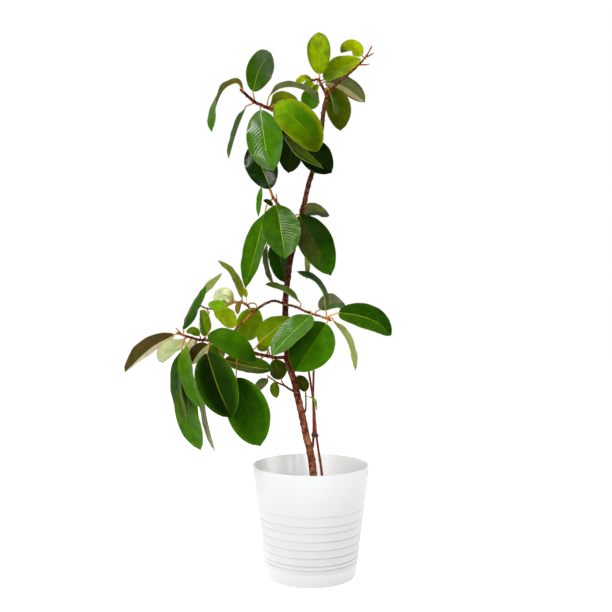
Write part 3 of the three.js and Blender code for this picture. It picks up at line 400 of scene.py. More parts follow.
def inEditMode(thing, steps):
    pick(thing)
    bpy.ops.object.mode_set(mode="EDIT")
    bpy.ops.mesh.select_all(action="SELECT")
    steps()
    bpy.ops.object.mode_set(mode="OBJECT")


def applyModifier(thing, kind, **settings):
    modifier = thing.modifiers.new(kind.lower(), kind)
    for key, value in settings.items():
        setattr(modifier, key, value)
    pick(thing)
    bpy.ops.object.modifier_apply(modifier=modifier.name)


def copyOf(thing, name):
    copy = bpy.data.objects.new(name, thing.data.copy())
    bpy.context.scene.collection.objects.link(copy)
    return copy


def joinAll(things, name):
    pick(*things)
    bpy.ops.object.join()
    things[0].name = name
    things[0].data.name = name
    return things[0]


def cornersOf(thing):
    corners = np.empty(len(thing.data.vertices) * 3, np.float32)
    thing.data.vertices.foreach_get("co", corners)
    return corners.reshape(-1, 3).astype(float)


def moveCorners(thing, corners):
    thing.data.vertices.foreach_set("co", corners.astype(np.float32).ravel())
    thing.data.update()


# The corner that each corner of each face stands on
def cornersOnFaces(thing):
    found = np.empty(len(thing.data.loops), int)
    thing.data.loops.foreach_get("vertex_index", found)
    return found


def paintCorners(thing, name, colours):
    layer = thing.data.attributes.new(name, "FLOAT_COLOR", "POINT")
    rgba = np.ones((len(thing.data.vertices), 4), np.float32)
    rgba[:, :3] = colours
    layer.data.foreach_set("color", rgba.ravel())


def markCorners(thing, name, values):
    layer = thing.data.attributes.new(name, "FLOAT", "POINT")
    marks = np.broadcast_to(np.asarray(values, np.float32), len(thing.data.vertices))
    layer.data.foreach_set("value", marks.copy())


def smoothStep(low, high, value):
    share = np.clip((value - low) / (high - low), 0, 1)
    return share * share * (3 - 2 * share)


def finishPiece(thing, material, node, angle=None):
    thing.data.materials.clear()
    thing.data.materials.append(material)
    pick(thing)
    if angle is None:
        bpy.ops.object.shade_smooth()
    else:
        bpy.ops.object.shade_smooth_by_angle(angle=math.radians(angle))
    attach(thing, "root")
    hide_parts(node)


# From a place in the picture to a place in metres
def place(right, down, behind):
    eye = Vector(view["eye"])
    distance = behind / 1000 - eye.y
    aside = (right - view["pictureSide"] / 2) * distance / view["dotsPerTangent"]
    below = (down - view["pictureSide"] / 2) * distance / view["dotsPerTangent"]
    return np.array([eye.x + aside, behind / 1000, eye.z - below])


# How far each spot lies along the line through them
def travelledTo(spots):
    return np.concatenate([[0], np.cumsum(np.linalg.norm(np.diff(spots, axis=0), axis=1))])


class Line:
    # A smooth line through places, measured along its length
    def __init__(self, places, perStep=24):
        points = [place(*spot) for spot in places]
        before = 2 * points[0] - points[1]
        after = 2 * points[-1] - points[-2]
        points = [before, *points, after]
        share = np.linspace(0, 1, perStep, endpoint=False)[:, None]
        spots = []
        for a, b, c, d in zip(points, points[1:], points[2:], points[3:]):
            gaps = [math.sqrt(np.linalg.norm(end - start)) for start, end in ((a, b), (b, c), (c, d))]
            leave = ((b - a) / gaps[0] - (c - a) / (gaps[0] + gaps[1]) + (c - b) / gaps[1]) * gaps[1]
            arrive = ((c - b) / gaps[1] - (d - b) / (gaps[1] + gaps[2]) + (d - c) / gaps[2]) * gaps[1]
            spots.append(b + leave * share + (3 * (c - b) - 2 * leave - arrive) * share ** 2
                         + (2 * (b - c) + leave + arrive) * share ** 3)
        self.spots = np.vstack([*spots, points[-2]])
        self.travelled = travelledTo(self.spots)
        self.length = self.travelled[-1]

    def at(self, shares):
        wanted = np.asarray(shares) * self.length
        return np.stack([np.interp(wanted, self.travelled, self.spots[:, k]) for k in range(3)], 1)

    def headings(self, shares, reach=0.01):
        shares = np.asarray(shares)
        ahead = self.at(np.clip(shares + reach, 0, 1)) - self.at(np.clip(shares - reach, 0, 1))
        return ahead / np.linalg.norm(ahead, axis=1)[:, None]


# Leaves. Where a leaf has a value of its own, that one counts. The outline is a sine to the power
# of slimness, with a narrow tip. The section is folded along the midrib, arched, and thin at the
# margin. Waves are shares of the leaf's width, and turn so many radians from its foot to its tip.
leafBlade = {
    "across": 16, "veins": 28, "rowsPerVein": 4, "spread": 1.5, "crowding": 0.5, "sweep": 0.2,
    "sweepPower": 1.3,
    "lean": 0.92, "slimness": 0.56, "taper": 0.14, "taperPower": 6, "dripTip": 0.3,
    "dripZone": (0.93, 0.985), "tipWidth": 0.0016, "tipLoss": 0.8,
    "fold": 14, "foldGrowth": 8, "crown": 0.35, "camber": 0, "thickness": 0.00072,
    "marginThickness": 0.4, "ribHeight": 0.0003, "ribShare": 0.05, "ribPower": 0.4,
    "pillow": 0.00034, "pillowZone": (0.12, 0.85),
    "ripple": 0.03, "rippleTurns": 9, "flutter": 0.009, "flutterTurns": (21, 34),
    "flutterStart": 2.4, "fineFlutter": 0.6,
    "gloss": 0.2, "rib": 0.5, "underRib": 0.3, "smoothAngle": 50,
}
stalkTube = {
    "around": 10, "rows": 34, "thickness": 0.0026, "thinnest": 0.00022, "fullLeafWidth": 0.024,
    "thinning": 0.18, "flare": 0.5, "flareLength": 0.003,
    # where it goes on under the blade as the midrib
    "underBlade": 0.9, "ribThickness": 0.86, "ribPower": 0.85, "sink": 0.25, "dipEnd": 0.05,
    "footTone": 0.7, "ribTone": 0.5, "shortest": 0.004,
    "brownUnder": ("mauve", "brown", "brownOlive"), "brownTint": (1.1, 0.72, 0.8),
}


# The flat leaf that every blade is bent from. Its corners hold (share of half the width, share of
# the way by side vein, face), so that each side vein lies along a row.
def makeLeafBlank():
    rows = leafBlade["veins"] * leafBlade["rowsPerVein"]
    bpy.ops.mesh.primitive_grid_add(x_subdivisions=leafBlade["across"], y_subdivisions=rows, size=2)
    blank = bpy.context.object
    blank.name = "leafBlank"
    applyModifier(blank, "SOLIDIFY", thickness=2, offset=0)
    corners = cornersOf(blank)
    side, row = corners[:, 0], (corners[:, 1] + 1) / 2
    markCorners(blank, "upper", corners[:, 2] > 0)
    spread = np.sign(side) * np.abs(side) ** leafBlade["spread"]
    moveCorners(blank, np.stack([spread, row, np.sign(corners[:, 2])], 1))
    chart = np.stack([(spread + 1) / 2, row], 1)[cornersOnFaces(blank)]
    blank.data.uv_layers.active.data.foreach_set("uv", chart.astype(np.float32).ravel())
    return blank


# How far along the midrib a place lies, given its row: side veins sweep forward to the margin
def alongOf(row, reach):
    even = row - leafBlade["crowding"] * np.sin(2 * math.pi * row) / (2 * math.pi)
    return even + leafBlade["sweep"] * reach ** leafBlade["sweepPower"] * np.sin(math.pi * even)


# Which way the upper face looks, at places on the midrib that head the given way
def facing(spots, ahead, roll):
    toEye = np.array(view["eye"]) - spots
    toEye -= ahead * np.sum(toEye * ahead, axis=1)[:, None]
    toEye /= np.linalg.norm(toEye, axis=1)[:, None]
    aside = np.cross(ahead, toEye)
    turn = np.radians(roll)[:, None]
    return toEye * np.cos(turn) + aside * np.sin(turn)


class LeafShape:
    def __init__(self, spec, seed):
        self.spec = {**leafBlade, **spec}
        self.line = Line(spec["blade"])
        self.width = spec["width"] / 1000
        self.seed = seed

    def frameAt(self, along):
        spots = self.line.at(along)
        ahead = self.line.headings(along)
        first, last = np.broadcast_to(self.spec["roll"], 2)
        face = facing(spots, ahead, first + (last - first) * along)
        return spots, np.cross(ahead, face), face

    def outline(self, along):
        spec = self.spec
        body = np.sin(math.pi * np.clip(along, 0, 1) ** spec["lean"]).clip(0)
        drip = 1 - spec["dripTip"] * smoothStep(*spec["dripZone"], along)
        return body ** (spec["slimness"] + spec["taper"] * along ** spec["taperPower"]) * drip

    def bend(self, corners):
        spec, width = self.spec, self.width
        side, row, skin = corners.T
        reach = np.abs(side)
        along = alongOf(row, reach)
        spots, aside, face = self.frameAt(along)
        outline = self.outline(along)
        half = np.maximum(width / 2 * outline, spec["tipWidth"] / 2 * (1 - along * spec["tipLoss"]))
        fold = math.radians(spec["fold"])
        arch = reach * (1 + spec["crown"]) - spec["crown"] * reach ** 2
        lift = half * math.sin(fold) * np.minimum(1, along * spec["foldGrowth"]) * arch
        lift = lift - half * spec["camber"] * reach ** 2
        ripple = width * spec["ripple"] * np.sin(along * spec["rippleTurns"]) * outline * side
        slow, fast = spec["flutterTurns"]
        waves = np.sin(along * slow + self.seed * spec["flutterStart"] + side)
        waves = waves + spec["fineFlutter"] * np.sin(along * fast - self.seed + side * 2)
        flutter = width * spec["flutter"] * waves * reach ** 3 * outline
        rib = np.exp(-(reach / spec["ribShare"]) ** 2) * (1 - along) ** spec["ribPower"]
        crest = np.abs(np.sin(math.pi * spec["veins"] * row))
        innermost, outermost = spec["pillowZone"]
        inBlade = smoothStep(0, innermost, reach) * smoothStep(1, outermost, reach)
        pillow = spec["pillow"] * crest * inBlade * outline
        thin = 1 - (1 - spec["marginThickness"]) * reach ** 2
        rise = lift + ripple + flutter + pillow + skin * spec["thickness"] / 2 * thin
        rise = rise + spec["ribHeight"] * rib * (skin > 0)
        return spots + aside * (side * half * math.cos(fold))[:, None] + face * rise[:, None]

    # The line of the stalk from the wood to the blade, then on under the blade as its midrib
    def stalkSpots(self):
        spec = stalkTube
        stalk = Line([*self.spec["stalk"], self.spec["blade"][0]])
        total = stalk.length + self.line.length * spec["underBlade"]
        travelled = np.linspace(0, 1, spec["rows"] + 1) * total
        free = travelled <= stalk.length
        along = np.clip((travelled - stalk.length) / self.line.length, 0, 1)
        spots, _, face = self.frameAt(along)
        radius = spec["thickness"] / 2 * min(1, self.width / spec["fullLeafWidth"])
        rib = (1 - along) ** spec["ribPower"] * spec["ribThickness"]
        radii = radius * (1 - spec["thinning"] * travelled / total) * np.where(free, 1, rib)
        flare = 1 + spec["flare"] * np.exp(-travelled / spec["flareLength"])
        # the stalk's own line runs to the middle of the blade's foot, and the midrib dips below it
        dip = (leafBlade["thickness"] / 2 + radii * spec["sink"]) * smoothStep(0, spec["dipEnd"], along)
        spots = spots - face * dip[:, None]
        spots[free] = stalk.at(travelled[free] / stalk.length)
        return spots, np.maximum(radii * flare, spec["thinnest"]), along, free


# A leaf's tones: its faces, then its zones, with left and right as seen with the tip up. The
# left and right tones are painted light and shade: one half of the folded leaf is made lighter
# than the other, as light falls on it.
def leafColours(spec, side, along, upper):
    zones = {
        "Left": smoothStep(0.02, -0.02, side),
        "Right": smoothStep(-0.02, 0.02, side),
        "Foot": smoothStep(0.45, 0.0, along),
        "Tip": smoothStep(0.45, 1.0, along),
        "Margin": smoothStep(0.6, 1.0, np.abs(side)),
    }
    shown = np.where(upper[:, None], tone(*leafTones[spec["upper"]]), tone(*leafTones[spec["under"]]))
    for zone, weight in zones.items():
        for key, face in ((zone.lower(), upper), ("under" + zone, ~upper)):
            if key in spec:
                shown = shown + (tone(*leafTones[spec[key]]) - shown) * (weight * face)[:, None]
    return shown


# Tubes: stems, twigs and stalks. Each is made from a blank of the same size.
tubeBlanks = {}


def tubeBlank(around, rows):
    if (around, rows) not in tubeBlanks:
        bpy.ops.mesh.primitive_grid_add(x_subdivisions=around, y_subdivisions=rows, size=1)
        blank = bpy.context.object
        flat = cornersOf(blank)
        turn = 2 * math.pi * (flat[:, 0] + 0.5)
        moveCorners(blank, np.stack([np.cos(turn), np.sin(turn), flat[:, 1] + 0.5], 1))

        def close():
            bpy.ops.mesh.remove_doubles(threshold=1e-5)
            bpy.ops.mesh.select_all(action="SELECT")
            bpy.ops.mesh.fill_holes(sides=around)
            bpy.ops.mesh.select_all(action="SELECT")
            bpy.ops.mesh.normals_make_consistent(inside=False)
        inEditMode(blank, close)
        tubeBlanks[(around, rows)] = blank
    return tubeBlanks[(around, rows)]


# Turns a blank tube into one along the spots. radii has a radius for each spot, or is a function
# of the corners' way along and turn. Its chart runs round and along, in units of the ring spacing.
def tubeAlong(name, spots, radii, around, spacing=0.01):
    rows = len(spots) - 1
    tube = copyOf(tubeBlank(around, rows), name)
    corners = cornersOf(tube)
    row = np.rint(corners[:, 2] * rows).astype(int)
    ahead = np.gradient(spots, axis=0)
    ahead /= np.linalg.norm(ahead, axis=1)[:, None]
    # no stem heads this way, so the first up is square to the stem
    up = np.cross(ahead[0], (0.3, 1, 0.2))
    ups = []
    for heading in ahead:
        up = up - heading * up.dot(heading)
        up = up / np.linalg.norm(up)
        ups.append(up)
    ups = np.array(ups)
    asides = np.cross(ahead, ups)
    travelled = travelledTo(spots)
    turn = np.arctan2(corners[:, 1], corners[:, 0])
    size = radii(travelled[row], turn) if callable(radii) else radii[row]
    across = np.cos(turn)[:, None] * ups[row] + np.sin(turn)[:, None] * asides[row]
    moveCorners(tube, spots[row] + across * size[:, None])
    chart = np.empty(len(tube.data.loops) * 2, np.float32)
    tube.data.uv_layers.active.data.foreach_get("uv", chart)
    chart[1::2] = (travelled[row] / spacing)[cornersOnFaces(tube)]
    tube.data.uv_layers.active.data.foreach_set("uv", chart)
    return tube, row, travelled


# Stems have rings all round and, on alternate sides, leaf scars. Turns are in radians, and rates
# in radians a metre.
stemBark = {
    "around": 16, "rowLength": 0.0016, "fewestRows": 12, "ringLength": 0.12, "ringSink": 0.3,
    "scarTurn": 2.4, "scarWidth": 0.75, "scarLength": 0.2, "scarBelow": 0.1, "sway": 0.035,
    "swayRates": (310, 97), "knob": 0.8, "knobRates": (430, 131, 88), "trunkScars": 0.2,
}
twigBark = {
    "around": 10, "rowLength": 0.0015, "fewestRows": 8, "tipStart": 0.86, "tipLoss": 5.4,
    "youth": 0.6,
}
bud = {
    "around": 12, "rows": 12, "length": 0.0035, "longerByWidth": 0.0012, "bluntness": 0.75,
    "swelling": 0.25, "tipRadius": 0.0001, "youth": 0.85,
}


# Tones blended evenly along a share from 0 to 1
def blend(names, share):
    shades = np.array([tone(*woodTones[name]) for name in names])
    steps = np.linspace(0, 1, len(names))
    return np.stack([np.interp(share, steps, shade) for shade in shades.T], 1)


def rowsAlong(line, spec):
    rows = max(spec["fewestRows"], round(line.length / spec["rowLength"]))
    return np.linspace(0, 1, rows + 1)


def stemTube(name, spec, scars=1.0):
    tones, spacing, ringHeight, scarHeight = spec["bark"]
    line = Line(spec["path"])
    start, end = (width / 2000 for width in spec["width"])

    def radius(travelled, turn):
        bark = stemBark
        plain = start + (end - start) * travelled / line.length
        ring = np.rint(travelled / spacing - 0.5)
        fromRing = travelled - (ring + 0.5) * spacing
        swelling = ringHeight * np.exp(-(fromRing / (bark["ringLength"] * spacing)) ** 2)
        aside = np.angle(np.exp(1j * (turn - ring * bark["scarTurn"])))
        below = (fromRing + bark["scarBelow"] * spacing) / (bark["scarLength"] * spacing)
        scar = scarHeight * np.exp(-(aside / bark["scarWidth"]) ** 2 - below ** 2)
        first, second = (travelled * rate for rate in bark["swayRates"])
        sway = bark["sway"] * plain * np.sin(first + 2 * turn) * np.sin(second + turn)
        first, second, third = (travelled * rate for rate in bark["knobRates"])
        knob = np.sin(first + 2 * np.sin(second)) * np.cos(turn + third)
        sway = sway + scarHeight * bark["knob"] * knob.clip(0) ** 4
        return plain + swelling + scar + sway - bark["ringSink"] * ringHeight

    spots = line.at(rowsAlong(line, stemBark))
    tube, row, travelled = tubeAlong(name, spots, radius, stemBark["around"], spacing)
    paintCorners(tube, "tone", blend(tones.split(), (travelled / line.length)[row]))
    markCorners(tube, "youth", 0.0)
    markCorners(tube, "scar", scars)
    return tube


def twigTube(name, path, start, end):
    line = Line(path)
    shares = rowsAlong(line, twigBark)
    pastStart = np.maximum(0, shares - twigBark["tipStart"])
    radii = (start + (end - start) * shares) / 2000 * (1 - pastStart * twigBark["tipLoss"])
    tube, _, _ = tubeAlong(name, line.at(shares), radii, twigBark["around"])
    paintCorners(tube, "tone", tone(*woodTones["redTwig"]))
    markCorners(tube, "youth", twigBark["youth"])
    return tube


# A pointed bud that goes on from the end of a stem
def budTube(name, path, width):
    line = Line(path)
    heading = line.headings([1.0])[0]
    length = bud["length"] + width * bud["longerByWidth"]
    shares = np.linspace(0, 1, bud["rows"] + 1)
    spots = line.at([1.0]) + heading * (shares * length)[:, None]
    swelling = 1 + bud["swelling"] * np.sin(shares * math.pi)
    radii = width / 2000 * np.cos(shares * math.pi / 2) ** bud["bluntness"] * swelling + bud["tipRadius"]
    tube, _, _ = tubeAlong(name, spots, radii, bud["around"])
    paintCorners(tube, "tone", tone(*woodTones["bud"]))
    markCorners(tube, "youth", bud["youth"])
    return tube


def stalkPiece(name, shape):
    spots, radii, along, free = shape.stalkSpots()
    tube, row, travelled = tubeAlong(name, spots, radii, stalkTube["around"])
    longest = max(travelled[free].max(), stalkTube["shortest"])
    share = np.clip(travelled / longest, 0, 1)[row][:, None]
    foot, middle, rib = (tone(*woodTones[key]) for key in ("stalkFoot", "stalk", "rib"))
    if shape.spec["under"] in stalkTube["brownUnder"]:
        rib = rib * stalkTube["brownTint"]
    colours = foot + (middle - foot) * smoothStep(0.0, stalkTube["footTone"], share)
    colours = colours + (rib - colours) * smoothStep(0.0, stalkTube["ribTone"], along[row])[:, None]
    paintCorners(tube, "tone", colours)
    markCorners(tube, "youth", 1.0)
    return tube


def makeBlade(name, shape, blank):
    blade = copyOf(blank, name)
    corners = cornersOf(blade)
    upper = corners[:, 2] > 0
    along = alongOf(corners[:, 1], np.abs(corners[:, 0]))
    paintCorners(blade, "tone", leafColours(shape.spec, corners[:, 0], along, upper))
    markCorners(blade, "gloss", upper * shape.spec["gloss"])
    markCorners(blade, "rib", np.where(upper, shape.spec["rib"], shape.spec["underRib"]))
    moveCorners(blade, shape.bend(corners))
    return blade


def growStem(node, spec, leafBlank, leafMaterial, woodMaterial):
    words = node.replace("leafy_", "").split("_")
    name = words[0] + "".join(word.capitalize() for word in words[1:])
    isTrunk = node == "trunk"
    wood = [stemTube(name, spec, stemBark["trunkScars"] if isTrunk else 1.0)]
    for number, (path, start, end) in enumerate(spec.get("twigs", [])):
        wood.append(twigTube(f"{name}Twig{number}", path, start, end))
    if not isTrunk:
        wood.append(budTube(f"{name}Bud", spec["path"], spec["width"][1]))
    blades = []
    for number, (leafName, leafSpec) in enumerate(leaves[node].items()):
        shape = LeafShape(leafSpec, number + len(name))
        blades.append(makeBlade(f"{name}_{leafName}", shape, leafBlank))
        wood.append(stalkPiece(f"{name}_{leafName}Stalk", shape))
    finishPiece(joinAll(wood, f"{name}Wood"), woodMaterial, node)
    leafPiece = joinAll(blades, f"{name}Leaves")
    finishPiece(leafPiece, leafMaterial, node, leafBlade["smoothAngle"])
    print(f"{name}: {len(blades)} leaves")


# Materials
class Value:
    # A socket that Python's own operators work on
    def __init__(self, tree, socket):
        self.tree = tree
        self.socket = socket

    def maths(self, operation, *terms):
        return self.tree.add("ShaderNodeMath", {"operation": operation}, dict(enumerate(terms)))

    def __pow__(self, power):
        return self.maths("POWER", self, power)

    def __abs__(self):
        return self.maths("ABSOLUTE", self)

    def sine(self):
        return self.maths("SINE", self)

    def fraction(self):
        return self.maths("FRACT", self)

    # 0 below low, 1 above high, or the other way round if low is the larger
    def between(self, low, high):
        return self.tree.add("ShaderNodeMapRange", {"interpolation_type": "SMOOTHSTEP"},
                             {"Value": self, "From Min": low, "From Max": high})


# One of Python's operators, with the value on its left or on its right
def addOperator(word, operation):
    setattr(Value, f"__{word}__", lambda self, other: self.maths(operation, self, other))
    setattr(Value, f"__r{word}__", lambda self, other: self.maths(operation, other, self))


for word, operation in (("add", "ADD"), ("sub", "SUBTRACT"), ("mul", "MULTIPLY"), ("truediv", "DIVIDE")):
    addOperator(word, operation)


class Nodes:
    def __init__(self, tree):
        self.nodes = tree.nodes
        self.links = tree.links

    # Any node: its settings first, then the values or links of its sockets
    def add(self, kind, settings=None, sockets=None, output=0):
        node = self.nodes.new(kind)
        for key, value in (settings or {}).items():
            setattr(node, key, value)
        for key, value in (sockets or {}).items():
            self.plug(node.inputs[key], value)
        return Value(self, node.outputs[output])

    def plug(self, socket, value):
        if isinstance(value, Value):
            self.links.new(value.socket, socket)
        else:
            socket.default_value = value

    # The three numbers of a vector
    def split(self, vector):
        first = self.add("ShaderNodeSeparateXYZ", sockets={0: vector})
        return [Value(self, socket) for socket in first.socket.node.outputs]


class Finish(Nodes):
    # A material, with its plain values
    def __init__(self, name, **plain):
        self.material = bpy.data.materials.new(name)
        self.material.use_nodes = True
        super().__init__(self.material.node_tree)
        self.shader = self.nodes["Principled BSDF"]
        self.wear(**plain)

    def attribute(self, name, output="Fac"):
        return self.add("ShaderNodeAttribute", {"attribute_name": name}, output=output)

    def chart(self):
        return self.split(self.add("ShaderNodeUVMap"))[:2]

    def here(self):
        return self.add("ShaderNodeTexCoord", output="Object")

    def cloud(self, scale, detail=2.0, roughness=0.5, stretch=None):
        spot = self.here()
        if stretch:
            spot = self.add("ShaderNodeMapping", sockets={"Vector": spot, "Scale": stretch})
        return self.add("ShaderNodeTexNoise", sockets={
            "Vector": spot, "Scale": scale, "Detail": detail, "Roughness": roughness})

    def cells(self, scale):
        return self.add("ShaderNodeTexVoronoi", sockets={"Vector": self.here(), "Scale": scale})

    def mix(self, share, first, second, blend="MIX"):
        return self.add("ShaderNodeMix", {"data_type": "RGBA", "blend_type": blend},
                        {0: share, 6: first, 7: second}, output=2)

    # A tint, times a share for each of red, green and blue
    def shade(self, tint, shares):
        return self.mix(1.0, tint, (*shares, 1.0), "MULTIPLY")

    def bump(self, height, strength, distance):
        return self.add("ShaderNodeBump", sockets={
            "Height": height, "Strength": strength, "Distance": distance})

    def wear(self, **surfaces):
        for key, value in surfaces.items():
            self.plug(self.shader.inputs[key.replace("_", " ")], value)
        return self.material


def colour(red, green, blue):
    return (*tone(red, green, blue), 1.0)


leafSkin = {
    "plain": {"Specular_IOR_Level": 0.09, "Specular_Tint": (0.7, 1.0, 0.12, 1.0), "Coat_Roughness": 0.18},
    "coat": 0.95, "mattGloss": 0.18, "driftScale": 38.0, "grainScale": 900.0, "mottleScale": 60.0,
    "coolScale": 14.0, "lighter": (1.34, 1.29, 1.0), "darker": (0.64, 0.76, 0.62),
    "cool": (1.14, 1.1, 0.7), "coolShare": 0.35, "veinWidth": 0.34, "veinPale": (1.9, 1.7, 1.6),
    # the extra vein paleness on glossy leaves is a painted highlight, for glare on the ridges
    "veinTone": (150, 176, 60), "veinToneShare": 0.03, "veinShare": 0.24, "veinOnGloss": 0.16,
    "veinBelow": 0.45, "fineVeins": 3.0, "fineWidth": 0.5, "fineShare": 0.1, "ribWidth": 0.012,
    "ribFootWidth": 0.016, "ribTone": (176, 190, 52), "ribTintShare": 0.3,
    "marginTone": (170, 176, 70), "marginTintShare": 0.45, "marginShare": 0.55,
    "bump": (0.4, 0.0004),
}


def leafFinish():
    skin = leafSkin
    finish = Finish("leafSkin", **skin["plain"])
    across, along = finish.chart()
    reach = abs(across * 2.0 - 1.0)
    upper, gloss = finish.attribute("upper"), finish.attribute("gloss")
    tint = finish.attribute("tone", "Color")
    drift = finish.cloud(skin["driftScale"], 3.0) - 0.5
    grain = finish.cloud(skin["grainScale"])
    mottle = finish.cloud(skin["mottleScale"], 4.0, 0.62)
    cool = finish.cloud(skin["coolScale"], 1.0)
    # side veins lie along the chart's rows, and finer ones between them
    phase = along * float(leafBlade["veins"])
    crest = abs((phase * math.pi).sine())
    vein = 1.0 - crest.between(0.0, skin["veinWidth"])
    fineCrest = abs(((phase * skin["fineVeins"] + drift * 2.0) * math.pi).sine())
    fine = 1.0 - fineCrest.between(0.0, skin["fineWidth"])
    inBlade = reach.between(1.0, 0.82) * reach.between(0.02, 0.1)
    ribWidth = skin["ribWidth"] + (1.0 - along) * skin["ribFootWidth"]
    rib = (1.0 - (reach / ribWidth).between(0.7, 1.5)) * along.between(1.05, 0.6)
    margin = reach.between(0.955, 0.995)

    shown = finish.mix(mottle.between(0.3, 0.72), finish.shade(tint, skin["darker"]),
                       finish.shade(tint, skin["lighter"]))
    shown = finish.mix(cool.between(0.35, 0.7) * skin["coolShare"], shown, finish.shade(tint, skin["cool"]))
    veinTint = finish.mix(skin["veinToneShare"], finish.shade(tint, skin["veinPale"]),
                          colour(*skin["veinTone"]))
    # Veins are paler lines: partly their own colour, partly painted light and shade along the ridges, and
    # on glossy leaves more painted glare
    veinShare = skin["veinShare"] + skin["veinOnGloss"] * gloss + skin["veinBelow"] * (1.0 - upper)
    shown = finish.mix(vein * inBlade * veinShare, shown, veinTint)
    shown = finish.mix(fine * inBlade * skin["fineShare"], shown, veinTint)
    ribTint = finish.mix(skin["ribTintShare"], colour(*skin["ribTone"]), tint)
    shown = finish.mix(rib * finish.attribute("rib"), shown, ribTint)
    marginTint = finish.mix(skin["marginTintShare"], colour(*skin["marginTone"]), tint)
    shown = finish.mix(margin * skin["marginShare"], shown, marginTint)

    rough = 0.36 - 0.12 * gloss + 0.08 * mottle + 0.26 * (1.0 - upper)
    coat = skin["coat"] * ((gloss - skin["mattGloss"]) / (1.0 - skin["mattGloss"])) ** 2.0
    relief = crest * inBlade * (upper - 0.3) + 0.15 * fine * inBlade + 0.02 * grain + 0.06 * mottle
    normal = finish.bump(relief, *skin["bump"])
    return finish.wear(Base_Color=shown, Roughness=rough, Coat_Weight=coat, Normal=normal)


barkSkin = {
    "mottleScale": 150.0, "patchScale": 62.0, "streakScale": 420.0,
    "streakStretch": (1.0, 1.0, 0.16), "fleckScale": 150.0, "darker": (0.3, 0.28, 0.3),
    "lighter": (1.75, 1.75, 1.75), "patchTone": (150, 112, 84), "patchShare": 0.5,
    "scarTone": (54, 26, 16), "scarShare": 0.6, "fleckTone": (198, 158, 122), "fleckShare": 0.6,
    "bump": (0.8, 0.0006),
}


def woodFinish():
    bark = barkSkin
    finish = Finish("bark", Specular_IOR_Level=0.06)
    youth = finish.attribute("youth")
    age = 1.0 - youth
    tint = finish.attribute("tone", "Color")
    mottle = finish.cloud(bark["mottleScale"], 5.0, 0.65)
    patches = finish.cloud(bark["patchScale"], 3.0, 0.6)
    streaks = finish.cloud(bark["streakScale"], 3.0, 0.6, stretch=bark["streakStretch"])
    fromRing = abs(finish.chart()[1].fraction() - 0.5 + (mottle - 0.5) * 0.06)
    scar = finish.attribute("scar") * (1.0 - fromRing.between(0.03, 0.12))
    fleck = 1.0 - finish.cells(bark["fleckScale"]).between(0.14, 0.3)

    lighter = finish.shade(tint, bark["lighter"])
    shown = finish.mix(mottle.between(0.36, 0.64), finish.shade(tint, bark["darker"]), lighter)
    shown = finish.mix(age * patches.between(0.54, 0.68) * bark["patchShare"], shown,
                       colour(*bark["patchTone"]))
    shown = finish.mix(age * scar * bark["scarShare"], shown, colour(*bark["scarTone"]))
    shown = finish.mix(age * fleck * patches.between(0.42, 0.6) * bark["fleckShare"], shown,
                       colour(*bark["fleckTone"]))
    young = finish.mix(mottle.between(0.3, 0.7) * 0.5, tint, lighter)
    shown = finish.mix(youth * youth, shown, young)

    rough = 0.62 + 0.2 * mottle - 0.28 * youth
    relief = age * (0.6 * streaks + 0.5 * mottle + 0.8 * fleck - 0.7 * scar) + 0.1 * mottle
    return finish.wear(Base_Color=shown, Roughness=rough, Normal=finish.bump(relief, *bark["bump"]))


shootSkin = {"mottleScale": 160.0, "darker": (0.5, 0.4, 0.4), "lighter": (1.35, 1.4, 1.3),
             "scarTone": (70, 24, 14), "scarShare": 0.6, "bump": (0.4, 0.0004)}


def shootFinish():
    finish = Finish("shootSkin", Specular_IOR_Level=0.15, Coat_Weight=0.1, Coat_Roughness=0.2)
    tint = finish.attribute("tone", "Color")
    mottle = finish.cloud(shootSkin["mottleScale"], 3.0, 0.6)
    scar = 1.0 - abs(finish.chart()[1].fraction() - 0.5).between(0.01, 0.04)
    shown = finish.mix(mottle.between(0.3, 0.7), finish.shade(tint, shootSkin["darker"]),
                       finish.shade(tint, shootSkin["lighter"]))
    shown = finish.mix(scar * shootSkin["scarShare"], shown, colour(*shootSkin["scarTone"]))
    normal = finish.bump(mottle - 0.6 * scar, *shootSkin["bump"])
    return finish.wear(Base_Color=shown, Roughness=0.32 + 0.2 * mottle, Normal=normal)


# The pot, drawn up ring by ring from its foot, over the lip and down inside
pot = {
    "sides": 144, "height": 0.209, "rimRadius": 0.110, "footRadius": 0.0855, "footRounding": 0.005,
    "footSteps": 5, "underRing": 0.86, "wall": 0.0034, "floor": 0.006,
    "grooves": (0.023, 0.035, 0.0425, 0.057, 0.072, 0.0875, 0.103, 0.115, 0.133),
    "grooveDepth": 0.0012, "grooveSharpness": 6, "grooveSteps": 12, "lastBand": 0.008,
    "plainRings": (0.16, 0.185), "lipSteps": 6, "insideRings": (0.19, 0.16, 0.12, 0.06, 0.012),
    "insideRounding": 0.005, "floorRing": 0.03, "smoothAngle": 60,
    # the inside's lighter tone is painted light, lifting the shade inside the pot
    "outside": ((204, 205, 205), (208, 209, 209)), "inside": (230, 230, 230),
}


def potRadius(height):
    return pot["footRadius"] + (pot["rimRadius"] - pot["footRadius"]) * height / pot["height"]


